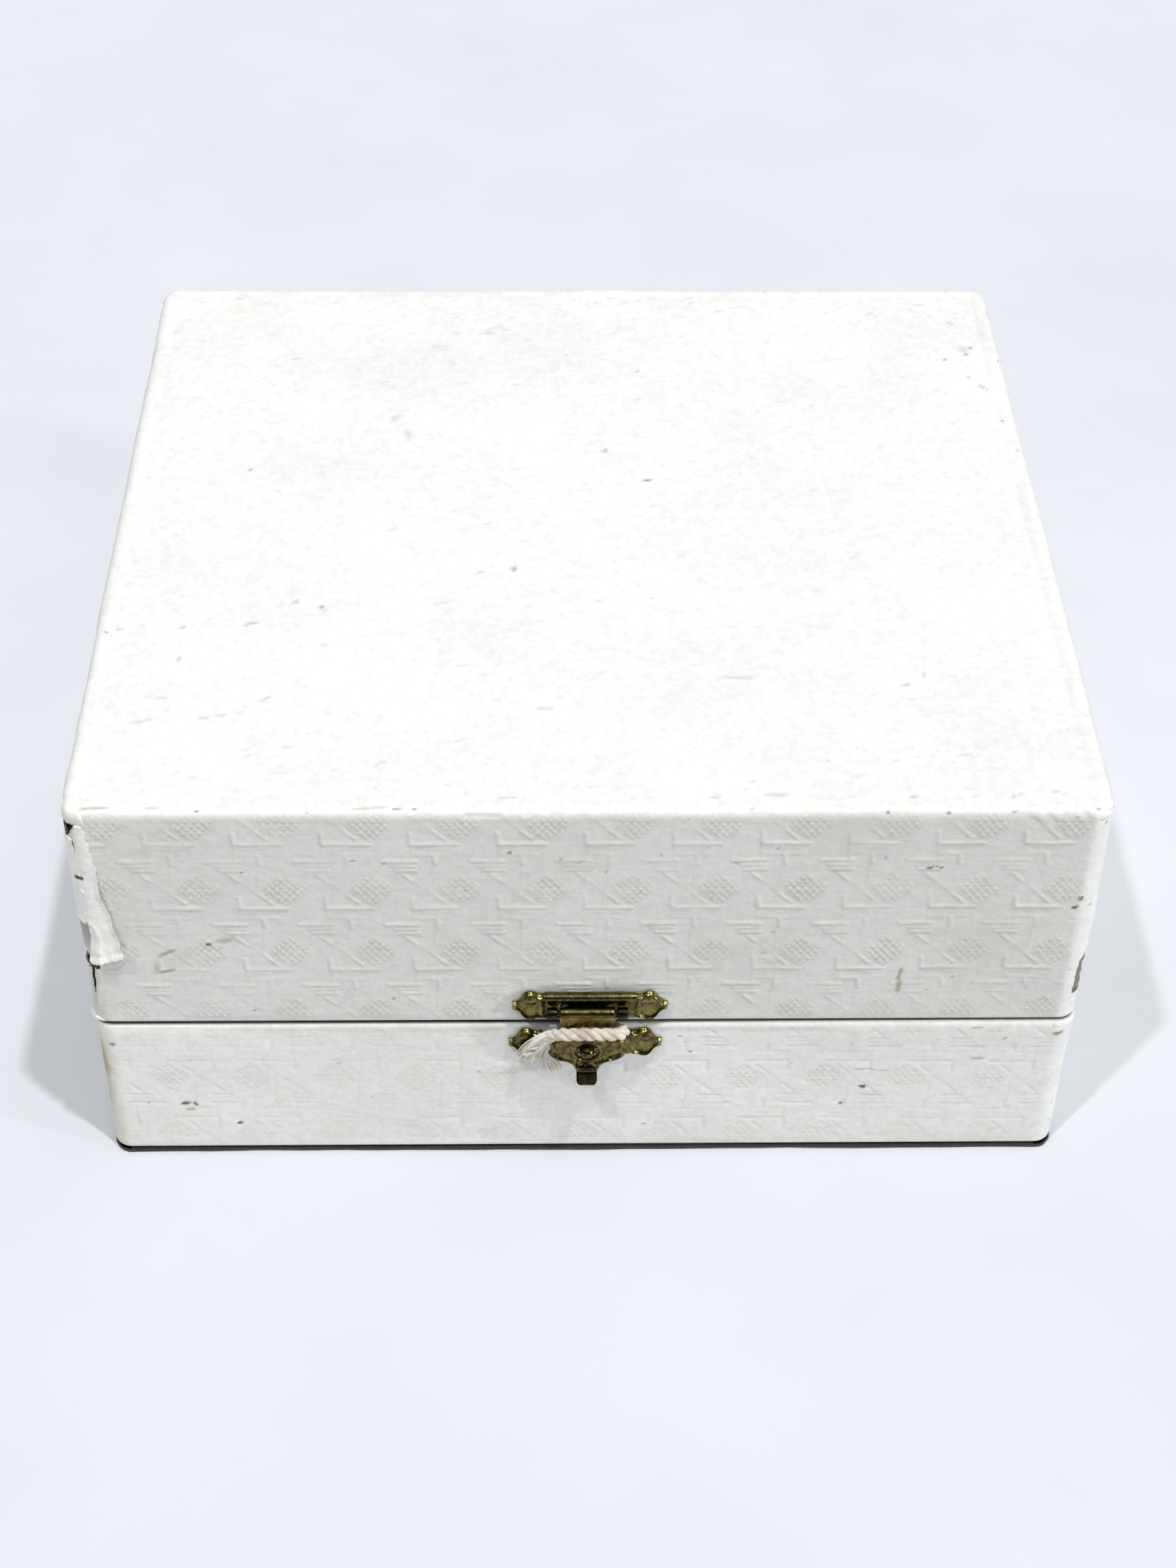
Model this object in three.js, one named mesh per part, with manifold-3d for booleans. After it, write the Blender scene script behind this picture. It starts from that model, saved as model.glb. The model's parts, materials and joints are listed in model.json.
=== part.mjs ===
// A travel jewelry case: a board box covered in embossed white leatherette paper, with a deep
// lid on two rear hinges, a lift-out tray with ring rolls, a mirror in the lid, and a stamped
// brass hasp clasp that has a short twine tied round it.
// Millimetres, +Z up. The origin is the centre of the underside, and the clasp faces -Y.

import * as THREE from "three";
import { mergeVertices } from "three/addons/utils/BufferGeometryUtils.js";
import Module from "manifold-3d";

const wasm = await Module();
wasm.setup();

// ---------- Driving dimensions ----------

// The box
const caseWidth = 160;
const caseDepth = 153;
const caseHeight = 77.5;
const seamHeight = 31.5; // where the lid meets the base
const seamGap = 0.5;
const cornerRadius = 3; // upright edges, seen from above
const topEdgeRadius = 2.3;
const bottomEdgeRadius = 0.8;
const rimRadius = 0.8; // the skin's fold over each rim

// The layers of a wall, from the outside in
const gap = 0.3; // left between pieces that touch
const skinThickness = 0.5;
const boardThickness = 2.5;
const liningThickness = 1;
const rimTurnIn = 8; // how far the skin is turned in behind a rim
const underTurnIn = 11; // and under the floor
const bottomSheetThickness = 0.6;
const bottomSheetInset = 1.5;

// The tray
const trayWall = 1.5;
const trayClearance = 0.8; // between the tray and the linings
const trayFloorHeight = 13.3;
const trayRimHeight = 33;
const ledgeWidth = 4;
const longDividerY = 5;
const frontDividerX = 22;
const backDividerX = -20;
const dividerHeight = 15;
const rollCount = 6;
const rollRadius = 5.4;
const pullWidth = 12;
const pullThickness = 0.8;
const pullBottom = 22;
const pullTop = 40;

// The mirror
const mirrorWidth = 112;
const mirrorDepth = 88;
const mirrorThickness = 2;
const mirrorCornerRadius = 10;
const mirrorFrameWidth = 5;
const mirrorFrameThickness = 2.5;

// Stamped brass, shared by the clasp and the hinges
const sheetBrass = 0.5;
const prongWidth = 1.2;
const prongDepth = 2.8; // how far a prong runs into the wall
const bendClearance = 0.3; // round a pin in its knuckle

// The clasp. Heights are measured from the seam, and distances out from the front of the box.
const plateHalfLength = 12.6;
const plateBodyHalf = 7.1;
const lidPlateCentre = 4.55;
const lidPlateShift = 0.4;
const basePlateCentre = -4.05;
const basePlateShift = -0.25;
const plateHalfHeight = 3.1;
const basePlateBodyTop = 1.85; // the base plate's middle is cut lower, behind the neck of the hasp
const claspPinOut = 2.3;
const claspPinUp = 4.6;
const claspPinRadius = 0.45;
const claspBarrelRadius = 1;
const haspBarrelHalf = 4.5;
const claspKnuckleLength = 1.8;
const haspBack = 2.8;
const haspHoleUp = -3.4;
const haspHoleRadius = 1.85;
const studBallRadius = 1.25;
const studStemRadius = 0.6;
const tabHalfWidth = 1.7;

// The twine's centreline: [along X, out from the front, up from the seam]. It starts at its end
// on the left, crosses in front of the hasp's neck, turns round its right side and ends behind it.
const twineDiameter = 2.2;
const twineRoute = [
  [-9.9, 2.4, -4.9],
  [-9.1, 2.5, -3.6],
  [-8.2, 2.6, -2.2],
  [-7.2, 2.8, -0.9],
  [-6.2, 3.1, 0.2],
  [-5.0, 3.7, 1.1],
  [-3.6, 4.35, 1.8],
  [-1.9, 4.7, 2.15],
  [0.0, 4.75, 2.25],
  [1.9, 4.75, 2.2],
  [3.6, 4.65, 2.0],
  [5.0, 4.2, 1.65],
  [5.8, 3.3, 1.2],
  [5.6, 2.2, 0.6],
  [4.6, 1.6, 0.1],
  [3.1, 1.42, -0.15],
  [1.4, 1.4, -0.25],
  [-0.4, 1.4, -0.35],
  [-2.2, 1.4, -0.45],
  [-4.0, 1.4, -0.6],
];

// The rear hinges
const hingeSpacing = 92;
const hingeLength = 16;
const leafHeight = 9;
const hingeOut = 1.8; // the pin's distance behind the back of the box
const hingePinRadius = 0.6;
const hingeKnuckleRadius = 1.5;
const hingeMiddleKnuckle = 6;

// ---------- Derived sizes ----------

const halfWidth = caseWidth / 2;
const halfDepth = caseDepth / 2;
const baseRim = seamHeight - seamGap / 2;
const lidRim = seamHeight + seamGap / 2;

// Distances in from the outside of a wall
const boardOuter = skinThickness + gap;
const boardInner = boardOuter + boardThickness;
const turnInOuter = boardInner + gap;
const turnInInner = turnInOuter + skinThickness;
const liningOuter = turnInInner + gap;
const liningInner = liningOuter + liningThickness;

// Heights
const skinBottom = bottomSheetThickness + gap;
const floorBoardBottom = skinBottom + skinThickness + gap;
const floorBoardTop = floorBoardBottom + boardThickness;
const floorLiningBottom = floorBoardTop + gap;
const floorLiningTop = floorLiningBottom + liningThickness;
const topBoardTop = caseHeight - skinThickness - gap;
const topBoardBottom = topBoardTop - boardThickness;
const topLiningTop = topBoardBottom - gap;
const topLiningBottom = topLiningTop - liningThickness;

// ---------- Materials ----------

function material(color, roughness, metalness = 0) {
  return new THREE.MeshStandardMaterial({ color, roughness, metalness });
}

const leatherette = material(0xe9e8e4, 0.55);
const greyBoard = material(0x9c9484, 0.95);
const darkFelt = material(0x2e2b28, 1);
const satin = material(0xb9c4cc, 0.6);
const velvet = material(0x8c9aa6, 0.9);
const brass = material(0x8a7b3c, 0.35, 1);
const giltPaper = material(0xc9a95a, 0.4, 0.6);
const silveredGlass = material(0xdfe6ea, 0.03, 1);
const cotton = material(0xe8e2d2, 0.95);

// ---------- Solids ----------

/** A closed geometry as a manifold solid. */
function solidOf(geometry) {
  const bare = new THREE.BufferGeometry();
  bare.setAttribute("position", geometry.getAttribute("position"));
  bare.setIndex(geometry.index);
  const merged = mergeVertices(bare, 1e-3);
  return new wasm.Manifold(
    new wasm.Mesh({
      numProp: 3,
      vertProperties: new Float32Array(merged.attributes.position.array),
      triVerts: new Uint32Array(merged.index.array),
    }),
  );
}

/** A manifold solid as a geometry with flat faces. */
function geometryOf(solid) {
  const mesh = solid.getMesh();
  const geometry = new THREE.BufferGeometry();
  geometry.setAttribute("position", new THREE.BufferAttribute(mesh.vertProperties, 3));
  geometry.setIndex(new THREE.BufferAttribute(mesh.triVerts, 1));
  const flat = geometry.toNonIndexed();
  flat.computeVertexNormals();
  return flat;
}

function join(...geometries) {
  const solids = geometries.map(solidOf);
  return geometryOf(solids.reduce((whole, piece) => whole.add(piece)));
}

function cut(geometry, ...tools) {
  const whole = solidOf(geometry);
  return geometryOf(tools.map(solidOf).reduce((rest, tool) => rest.subtract(tool), whole));
}

/** A box between two corners. */
function boxBetween(low, high) {
  const size = high.map((value, axis) => value - low[axis]);
  const box = new THREE.BoxGeometry(...size);
  return box.translate(...low.map((value, axis) => value + size[axis] / 2));
}

function extrude(shape, depth, curveSegments = 6) {
  return new THREE.ExtrudeGeometry(shape, { depth, bevelEnabled: false, curveSegments });
}

/** Extrudes a section drawn as (out, up) evenly about X, in the frame of a wall: X, up, out. */
function extrudeAcross(section, length, curveSegments = 6) {
  return extrude(section, length, curveSegments)
    .rotateY(-Math.PI / 2)
    .translate(length / 2, 0, 0);
}

/** A solid of revolution round X, from a profile of [radius, x] that starts and ends on the axis. */
function turnedAboutX(profile, segments) {
  const points = profile.map(([radius, x]) => new THREE.Vector2(radius, x));
  return new THREE.LatheGeometry(points, segments).rotateZ(-Math.PI / 2);
}

/** Points of an arc on a wall's section, as [inset, height]. */
function arc(centreInset, centreHeight, radius, fromDegrees, toDegrees, steps = 3) {
  return Array.from({ length: steps + 1 }, (_, i) => {
    const angle = THREE.MathUtils.degToRad(
      THREE.MathUtils.lerp(fromDegrees, toDegrees, i / steps),
    );
    return [
      centreInset + radius * Math.cos(angle),
      centreHeight + radius * Math.sin(angle),
    ];
  });
}

/** The rounded rectangle that lies `inset` mm inside the box's walls, anticlockwise from above. */
function caseLoop(inset, height) {
  const cornerSteps = 4;
  const radius = Math.max(cornerRadius - inset, 0.1);
  const centreX = halfWidth - inset - radius;
  const centreY = halfDepth - inset - radius;
  const signs = [
    [1, 1],
    [-1, 1],
    [-1, -1],
    [1, -1],
  ];
  return signs.flatMap(([signX, signY], corner) =>
    Array.from({ length: cornerSteps + 1 }, (_, i) => {
      const angle = (corner + i / cornerSteps) * (Math.PI / 2);
      return [
        signX * centreX + radius * Math.cos(angle),
        signY * centreY + radius * Math.sin(angle),
        height,
      ];
    }),
  );
}

/**
 * Sweeps a wall's section of [inset, height] points round the box. The section climbs on its
 * outside. A closed section makes a ring, and an open one is closed by a flat face at each end.
 */
function sweepRound(section, isRing) {
  const loops = section.map(([inset, height]) => caseLoop(inset, height));
  const count = loops[0].length;
  const faces = [];
  const bands = isRing ? loops.length : loops.length - 1;
  for (let band = 0; band < bands; band++) {
    const lower = band * count;
    const upper = ((band + 1) % loops.length) * count;
    for (let i = 0; i < count; i++) {
      const next = (i + 1) % count;
      faces.push(lower + i, lower + next, upper + next);
      faces.push(lower + i, upper + next, upper + i);
    }
  }
  if (!isRing) {
    const last = (loops.length - 1) * count;
    for (let i = 1; i < count - 1; i++) {
      faces.push(0, i + 1, i);
      faces.push(last, last + i, last + i + 1);
    }
  }
  const geometry = new THREE.BufferGeometry();
  geometry.setAttribute("position", new THREE.Float32BufferAttribute(loops.flat(2), 3));
  geometry.setIndex(faces);
  return geometry;
}

function roundedRectangle(width, height, radius) {
  const x = width / 2;
  const y = height / 2;
  return new THREE.Shape()
    .moveTo(-x + radius, -y)
    .lineTo(x - radius, -y)
    .absarc(x - radius, -y + radius, radius, -Math.PI / 2, 0)
    .lineTo(x, y - radius)
    .absarc(x - radius, y - radius, radius, 0, Math.PI / 2)
    .lineTo(-x + radius, y)
    .absarc(-x + radius, y - radius, radius, Math.PI / 2, Math.PI)
    .lineTo(-x, -y + radius)
    .absarc(-x + radius, -y + radius, radius, Math.PI, 1.5 * Math.PI);
}

// ---------- The scene graph ----------

const travelCase = new THREE.Group();

// In each of these two groups X runs along the wall, Y is up from the seam and Z is out of the wall.
const frontWall = new THREE.Group();
frontWall.position.set(0, -halfDepth, seamHeight);
frontWall.rotation.set(Math.PI / 2, 0, 0);
const backWall = new THREE.Group();
backWall.position.set(0, halfDepth, seamHeight);
backWall.rotation.set(Math.PI / 2, Math.PI, 0);
travelCase.add(frontWall, backWall);
travelCase.updateMatrixWorld(true);

function add(name, geometry, surface, group = travelCase) {
  const mesh = new THREE.Mesh(geometry, surface);
  mesh.name = name;
  group.add(mesh);
  return mesh;
}

// ---------- Prongs, and their slots in the walls ----------

/** A prong on the back of a stamped plate, in a wall's frame. */
function prong(x, up) {
  return boxBetween(
    [x - prongWidth / 2, up - sheetBrass / 2, -prongDepth],
    [x + prongWidth / 2, up + sheetBrass / 2, gap + sheetBrass / 2],
  );
}

/** The slot in the skin and the board that a prong goes through. */
function prongSlot(wall, x, up) {
  const slot = boxBetween(
    [x - prongWidth / 2 - gap, up - sheetBrass / 2 - gap, -boardInner - gap / 2],
    [x + prongWidth / 2 + gap, up + sheetBrass / 2 + gap, gap],
  );
  return slot.applyMatrix4(wall.matrixWorld);
}

const plateProngs = [-9.8, 9.8];
const leafProngs = [-5, 5];
const leafCentre = gap + leafHeight / 2 + 1.2;
const hingeCentres = [-hingeSpacing / 2, hingeSpacing / 2];

const lidFrontSlots = plateProngs.map((x) =>
  prongSlot(frontWall, x + lidPlateShift, lidPlateCentre),
);
const baseFrontSlots = plateProngs.map((x) =>
  prongSlot(frontWall, x + basePlateShift, basePlateCentre),
);
const hingeSlots = (up) =>
  hingeCentres.flatMap((centre) => leafProngs.map((x) => prongSlot(backWall, centre + x, up)));
const lidBackSlots = hingeSlots(leafCentre);
const baseBackSlots = hingeSlots(-leafCentre);

/** The hole in the base's front wall for the stem of the stud. */
const studHole = new THREE.CylinderGeometry(
  studStemRadius + gap,
  studStemRadius + gap,
  2 * boardInner,
  16,
)
  .rotateX(Math.PI / 2)
  .translate(0, haspHoleUp, -boardInner / 2)
  .applyMatrix4(frontWall.matrixWorld);

// ---------- Boards ----------

/** A front or back wall board, whose outer corners are round. side is -1 in front and 1 behind. */
function crossBoard(side, bottom, top) {
  const x = halfWidth - boardOuter;
  const radius = cornerRadius - boardOuter;
  const shape = new THREE.Shape()
    .moveTo(-x, 0)
    .lineTo(x, 0)
    .lineTo(x, boardThickness - radius)
    .absarc(x - radius, boardThickness - radius, radius, 0, Math.PI / 2)
    .lineTo(-x + radius, boardThickness)
    .absarc(-x + radius, boardThickness - radius, radius, Math.PI / 2, Math.PI);
  const geometry = extrude(shape, top - bottom);
  if (side < 0) geometry.rotateZ(Math.PI);
  return geometry.translate(0, side * (halfDepth - boardInner), bottom);
}

/** A left or right wall board, which stands between the front and back ones. */
function sideBoard(side, bottom, top) {
  const outer = side * (halfWidth - boardOuter);
  const inner = side * (halfWidth - boardInner);
  const y = halfDepth - boardInner - gap;
  return boxBetween(
    [Math.min(outer, inner), -y, bottom],
    [Math.max(outer, inner), y, top],
  );
}

function addWallBoards(part, bottom, top, frontTools, backTools) {
  add(`${part}_front_board`, cut(crossBoard(-1, bottom, top), ...frontTools), greyBoard);
  add(`${part}_back_board`, cut(crossBoard(1, bottom, top), ...backTools), greyBoard);
  add(`${part}_left_board`, sideBoard(-1, bottom, top), greyBoard);
  add(`${part}_right_board`, sideBoard(1, bottom, top), greyBoard);
}

/** A floor or top board, with one of its edges rounded to fit inside the skin. */
function addFlatBoards() {
  const lowRadius = bottomEdgeRadius - boardOuter / 2;
  add(
    "base_floor_board",
    sweepRound(
      [
        ...arc(boardOuter + lowRadius, floorBoardBottom + lowRadius, lowRadius, 270, 180),
        [boardOuter, floorBoardTop],
      ],
      false,
    ),
    greyBoard,
  );
  const highRadius = topEdgeRadius - boardOuter;
  add(
    "lid_top_board",
    sweepRound(
      [
        [boardOuter, topBoardBottom],
        ...arc(boardOuter + highRadius, topBoardTop - highRadius, highRadius, 180, 90),
      ],
      false,
    ),
    greyBoard,
  );
}

// ---------- Leatherette skins ----------

/** The base's skin: turned under the floor, up the walls, over the rim and down inside. */
function baseSkin() {
  const radius = bottomEdgeRadius;
  const section = [
    [underTurnIn, skinBottom],
    ...arc(radius, skinBottom + radius, radius, 270, 180),
    ...arc(rimRadius, baseRim - rimRadius, rimRadius, 180, 90),
    ...arc(turnInInner - rimRadius, baseRim - rimRadius, rimRadius, 90, 0),
    [turnInInner, baseRim - rimTurnIn],
    [turnInOuter, baseRim - rimTurnIn],
    [turnInOuter, baseRim - skinThickness],
    [skinThickness, baseRim - skinThickness],
    ...arc(radius, skinBottom + radius, radius - skinThickness, 180, 270),
    [underTurnIn, skinBottom + skinThickness],
  ];
  return sweepRound(section, true);
}

/** The lid's skin: across the top, down the walls, under the rim and up inside. */
function lidSkin() {
  const radius = topEdgeRadius;
  const inner = radius - skinThickness;
  const section = [
    ...arc(radius, caseHeight - radius, inner, 90, 180),
    [skinThickness, lidRim + skinThickness],
    [turnInOuter, lidRim + skinThickness],
    [turnInOuter, lidRim + rimTurnIn],
    [turnInInner, lidRim + rimTurnIn],
    ...arc(turnInInner - rimRadius, lidRim + rimRadius, rimRadius, 0, -90),
    ...arc(rimRadius, lidRim + rimRadius, rimRadius, 270, 180),
    ...arc(radius, caseHeight - radius, radius, 180, 90),
  ];
  return sweepRound(section, false);
}

// ---------- Linings ----------

/** Four upright lining cards between two heights, inside one half of the case. */
function addWallLinings(part, bottom, top) {
  const x = halfWidth - liningOuter;
  const innerX = halfWidth - liningInner;
  const y = halfDepth - liningOuter;
  const innerY = halfDepth - liningInner;
  const sideY = innerY - gap;
  add(`${part}_front_lining`, boxBetween([-x, -y, bottom], [x, -innerY, top]), satin);
  add(`${part}_back_lining`, boxBetween([-x, innerY, bottom], [x, y, top]), satin);
  add(`${part}_left_lining`, boxBetween([-x, -sideY, bottom], [-innerX, sideY, top]), satin);
  add(`${part}_right_lining`, boxBetween([innerX, -sideY, bottom], [x, sideY, top]), satin);
}

/** A flat lining that fills one half of the case from wall to wall. */
function flatLining(bottom) {
  const x = halfWidth - liningOuter;
  const y = halfDepth - liningOuter;
  return boxBetween([-x, -y, bottom], [x, y, bottom + liningThickness]);
}

// ---------- Base and lid ----------

function addBase() {
  const sheetX = halfWidth - bottomSheetInset;
  const sheetY = halfDepth - bottomSheetInset;
  add(
    "base_bottom_sheet",
    boxBetween([-sheetX, -sheetY, 0], [sheetX, sheetY, bottomSheetThickness]),
    darkFelt,
  );
  addWallBoards(
    "base",
    floorBoardTop + gap,
    baseRim - boardOuter,
    [...baseFrontSlots, studHole],
    baseBackSlots,
  );
  const slots = [...baseFrontSlots, ...baseBackSlots];
  add("base_wrap", cut(baseSkin(), ...slots, studHole), leatherette);
  add("base_floor_lining", flatLining(floorLiningBottom), satin);
  addWallLinings("base", floorLiningTop + gap, baseRim - 2 * gap);
  for (const [name, side] of [
    ["tray_ledge_left", -1],
    ["tray_ledge_right", 1],
  ]) {
    const outer = halfWidth - liningInner - gap;
    const y = halfDepth - liningInner - gap;
    const ledge = boxBetween(
      [outer - ledgeWidth, -y, floorLiningTop + gap],
      [outer, y, trayFloorHeight - gap],
    );
    add(name, side < 0 ? ledge.rotateZ(Math.PI) : ledge, velvet);
  }
}

function addLid() {
  addWallBoards(
    "lid",
    lidRim + boardOuter,
    topBoardBottom - gap,
    lidFrontSlots,
    lidBackSlots,
  );
  add("lid_wrap", cut(lidSkin(), ...lidFrontSlots, ...lidBackSlots), leatherette);
  add("lid_top_lining", flatLining(topLiningBottom), satin);
  addWallLinings("lid", lidRim + 2 * gap, topLiningBottom - gap);
}

function addMirror() {
  const top = topLiningBottom - gap;
  const plate = roundedRectangle(mirrorWidth, mirrorDepth, mirrorCornerRadius);
  const glass = extrude(plate, mirrorThickness).translate(0, 0, top - mirrorThickness);
  add("mirror", glass, silveredGlass);

  const frameOut = mirrorFrameWidth + gap;
  const outline = roundedRectangle(
    mirrorWidth + 2 * frameOut,
    mirrorDepth + 2 * frameOut,
    mirrorCornerRadius + frameOut,
  );
  const opening = roundedRectangle(
    mirrorWidth + 2 * gap,
    mirrorDepth + 2 * gap,
    mirrorCornerRadius + gap,
  );
  outline.holes.push(opening);
  const frame = extrude(outline, mirrorFrameThickness).translate(0, 0, top - mirrorFrameThickness);
  add("mirror_frame", frame, giltPaper);
}

// ---------- Tray ----------

function addTray() {
  const x = halfWidth - liningInner - trayClearance;
  const y = halfDepth - liningInner - trayClearance;
  const innerX = x - trayWall;
  const innerY = y - trayWall;
  const floorTop = trayFloorHeight + trayWall;
  const low = floorTop + gap;
  add("tray_floor", boxBetween([-x, -y, trayFloorHeight], [x, y, floorTop]), velvet);
  add("tray_front_wall", boxBetween([-x, -y, low], [x, -innerY, trayRimHeight]), velvet);
  add("tray_back_wall", boxBetween([-x, innerY, low], [x, y, trayRimHeight]), velvet);
  const sideY = innerY - gap;
  add("tray_left_wall", boxBetween([-x, -sideY, low], [-innerX, sideY, trayRimHeight]), velvet);
  add("tray_right_wall", boxBetween([innerX, -sideY, low], [x, sideY, trayRimHeight]), velvet);

  const half = trayWall / 2;
  const top = low + dividerHeight;
  const divider = (name, lowXY, highXY) =>
    add(name, boxBetween([...lowXY, low], [...highXY, top]), velvet);
  const reach = innerX - gap;
  divider("tray_long_divider", [-reach, longDividerY - half], [reach, longDividerY + half]);
  divider(
    "tray_front_divider",
    [frontDividerX - half, -innerY + gap],
    [frontDividerX + half, longDividerY - half - gap],
  );
  divider(
    "tray_back_divider",
    [backDividerX - half, longDividerY + half + gap],
    [backDividerX + half, innerY - gap],
  );
  addRingRolls(-reach, frontDividerX - half - gap, -innerY + gap, longDividerY - half - gap, low);
  for (const [name, side] of [
    ["tray_pull_left", -1],
    ["tray_pull_right", 1],
  ]) {
    const pull = new THREE.BoxGeometry(pullThickness, pullWidth, pullTop - pullBottom);
    const pullX = side * (innerX - gap - pullThickness / 2);
    const pullY = longDividerY + trayWall + pullWidth;
    add(name, pull.translate(pullX, pullY, (pullTop + pullBottom) / 2), satin);
  }
}

/** Padded rolls that lie side by side, and hold rings in the slits between them. */
function addRingRolls(left, right, front, back, low) {
  const pitch = (back - front) / rollCount;
  const endRadius = 2;
  const halfLength = (right - left) / 2 - gap;
  const quarter = [0, 1 / 3, 2 / 3, 1].map((share) => (share * Math.PI) / 2);
  const end = (side) =>
    quarter.map((angle) => [
      rollRadius - endRadius * (1 - Math.cos(angle)),
      side * (halfLength - endRadius * (1 - Math.sin(angle))),
    ]);
  const profile = [
    [0, -halfLength],
    ...end(-1).reverse(),
    ...end(1),
    [0, halfLength],
  ];
  for (let i = 0; i < rollCount; i++) {
    const roll = turnedAboutX(profile, 14);
    roll.translate((left + right) / 2, front + pitch * (i + 0.5), low + rollRadius);
    add(`ring_roll_${i + 1}`, roll, velvet);
  }
}

// ---------- Clasp ----------

/**
 * The outline of a clasp plate, about its own centre. Each end flares to two lobes and comes to
 * a small square tip, and bodyTop is the height of the middle's top edge.
 */
function claspPlateShape(bodyTop) {
  const waist = 2.2;
  const lobe = 3.3;
  const neck = 1.1;
  const rightTop = [
    [plateBodyHalf, bodyTop],
    [plateBodyHalf, plateHalfHeight],
    [8.1, waist],
    [9, 2.6],
    [9.8, lobe],
    [10.6, 2.3],
    [11.5, neck],
    [11.9, 0.8],
    [plateHalfLength, 0.8],
  ];
  const flipUp = ([x, up]) => [x, -up];
  const flipAcross = ([x, up]) => [-x, up];
  const rightBottom = rightTop
    .slice(1)
    .map(flipUp)
    .reverse();
  const right = [...rightTop, ...rightBottom];
  const outline = [...right, ...right.map(flipAcross).reverse()];
  return new THREE.Shape(outline.reverse().map(([x, up]) => new THREE.Vector2(x, up)));
}

/** A plate of stamped brass on a wall, with a prong at each of the given places along X. */
function stampedPlate(shape, shift, up, prongs) {
  const plate = extrude(shape, sheetBrass).translate(shift, up, gap);
  return join(plate, ...prongs.map((x) => prong(x + shift, up)));
}

/** A knuckle round a pin along X: a tube with a web behind it that reaches its plate. */
function knuckle(length, radius, pinRadius, out, up) {
  const section = new THREE.Shape()
    .moveTo(gap + sheetBrass / 2, up - radius / 2)
    .lineTo(out, up - radius)
    .absarc(out, up, radius, -Math.PI / 2, Math.PI / 2)
    .lineTo(gap + sheetBrass / 2, up + radius / 2);
  const bore = new THREE.Path().absarc(out, up, pinRadius + bendClearance, 0, 2 * Math.PI);
  section.holes.push(bore);
  return extrudeAcross(section, length);
}

function pinAlongX(radius, length, out, up) {
  const pin = new THREE.CylinderGeometry(radius, radius, length, 12);
  return pin.rotateZ(Math.PI / 2).translate(0, up, out);
}

function lidPlate() {
  const plate = stampedPlate(
    claspPlateShape(plateHalfHeight),
    lidPlateShift,
    lidPlateCentre,
    plateProngs,
  );
  const ribRadius = 0.7;
  const ribUp = lidPlateCentre + plateHalfHeight - ribRadius / 2;
  const ribSection = new THREE.Shape().absarc(
    gap + sheetBrass / 2 + ribRadius,
    ribUp,
    ribRadius,
    0,
    2 * Math.PI,
  );
  const rib = extrudeAcross(ribSection, 2 * plateBodyHalf).translate(lidPlateShift, 0, 0);
  const knuckleX = haspBarrelHalf + gap + claspKnuckleLength / 2;
  const knuckles = [-knuckleX, knuckleX].map((x) =>
    knuckle(
      claspKnuckleLength,
      claspBarrelRadius,
      claspPinRadius,
      claspPinOut,
      claspPinUp,
    ).translate(x, 0, 0),
  );
  return join(plate, rib, ...knuckles);
}

function basePlate() {
  const plate = stampedPlate(
    claspPlateShape(basePlateBodyTop),
    basePlateShift,
    basePlateCentre,
    plateProngs,
  );
  const hole = new THREE.CylinderGeometry(
    studStemRadius + gap,
    studStemRadius + gap,
    4 * sheetBrass,
    16,
  );
  hole.rotateX(Math.PI / 2).translate(0, haspHoleUp, gap + sheetBrass / 2);
  return cut(plate, hole);
}

/** The stud: a ball on a stem that goes through the base plate and the wall behind it. */
function stud() {
  const ballOut = haspBack + sheetBrass;
  const ball = Array.from({ length: 7 }, (_, i) => {
    const start = Math.asin(studStemRadius / studBallRadius);
    const angle = THREE.MathUtils.lerp(start, Math.PI, i / 6);
    const radius = i === 6 ? 0 : studBallRadius * Math.sin(angle);
    return new THREE.Vector2(radius, ballOut - studBallRadius * Math.cos(angle));
  });
  const profile = [
    new THREE.Vector2(0, -prongDepth),
    new THREE.Vector2(studStemRadius, -prongDepth),
    ...ball,
  ];
  return new THREE.LatheGeometry(profile, 14)
    .rotateX(Math.PI / 2)
    .translate(0, haspHoleUp, 0);
}

/** The flat of the hasp: a flap under the barrel, a neck, and a scalloped shield with a hole. */
function haspFlat() {
  const flapBottom = 2.55;
  const neckHalf = 3;
  const right = [
    [haspBarrelHalf, claspPinUp],
    [haspBarrelHalf, flapBottom],
    [neckHalf, flapBottom],
    [neckHalf, -0.5],
    [4.4, -0.55],
    [5.7, -0.9],
    [6.3, -1.8],
    [5.9, -2.9],
    [6.35, -4.1],
    [5.1, -5.2],
    [3.2, -6.1],
    [2.1, -7.1],
    [tabHalfWidth, -8.2],
  ];
  const left = right.map(([x, up]) => [-x, up]).reverse();
  const outline = [...right, ...left].reverse();
  const shape = new THREE.Shape(outline.map(([x, up]) => new THREE.Vector2(x, up)));
  const hole = new THREE.Path().absarc(0, haspHoleUp, haspHoleRadius, 0, 2 * Math.PI);
  shape.holes.push(hole);
  return extrude(shape, sheetBrass, 10).translate(0, 0, haspBack);
}

/** The finger tab at the bottom of the hasp, bent outwards. */
function haspTab() {
  const tabTop = -7.8;
  const bendUp = -8.6;
  const endUp = -9.7;
  const endOut = haspBack + 2.1;
  const section = new THREE.Shape()
    .moveTo(haspBack, tabTop)
    .lineTo(haspBack, bendUp)
    .lineTo(endOut - sheetBrass, endUp)
    .lineTo(endOut, endUp + sheetBrass)
    .lineTo(haspBack + sheetBrass, bendUp + sheetBrass)
    .lineTo(haspBack + sheetBrass, tabTop);
  return extrudeAcross(section, 2 * tabHalfWidth);
}

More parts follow.
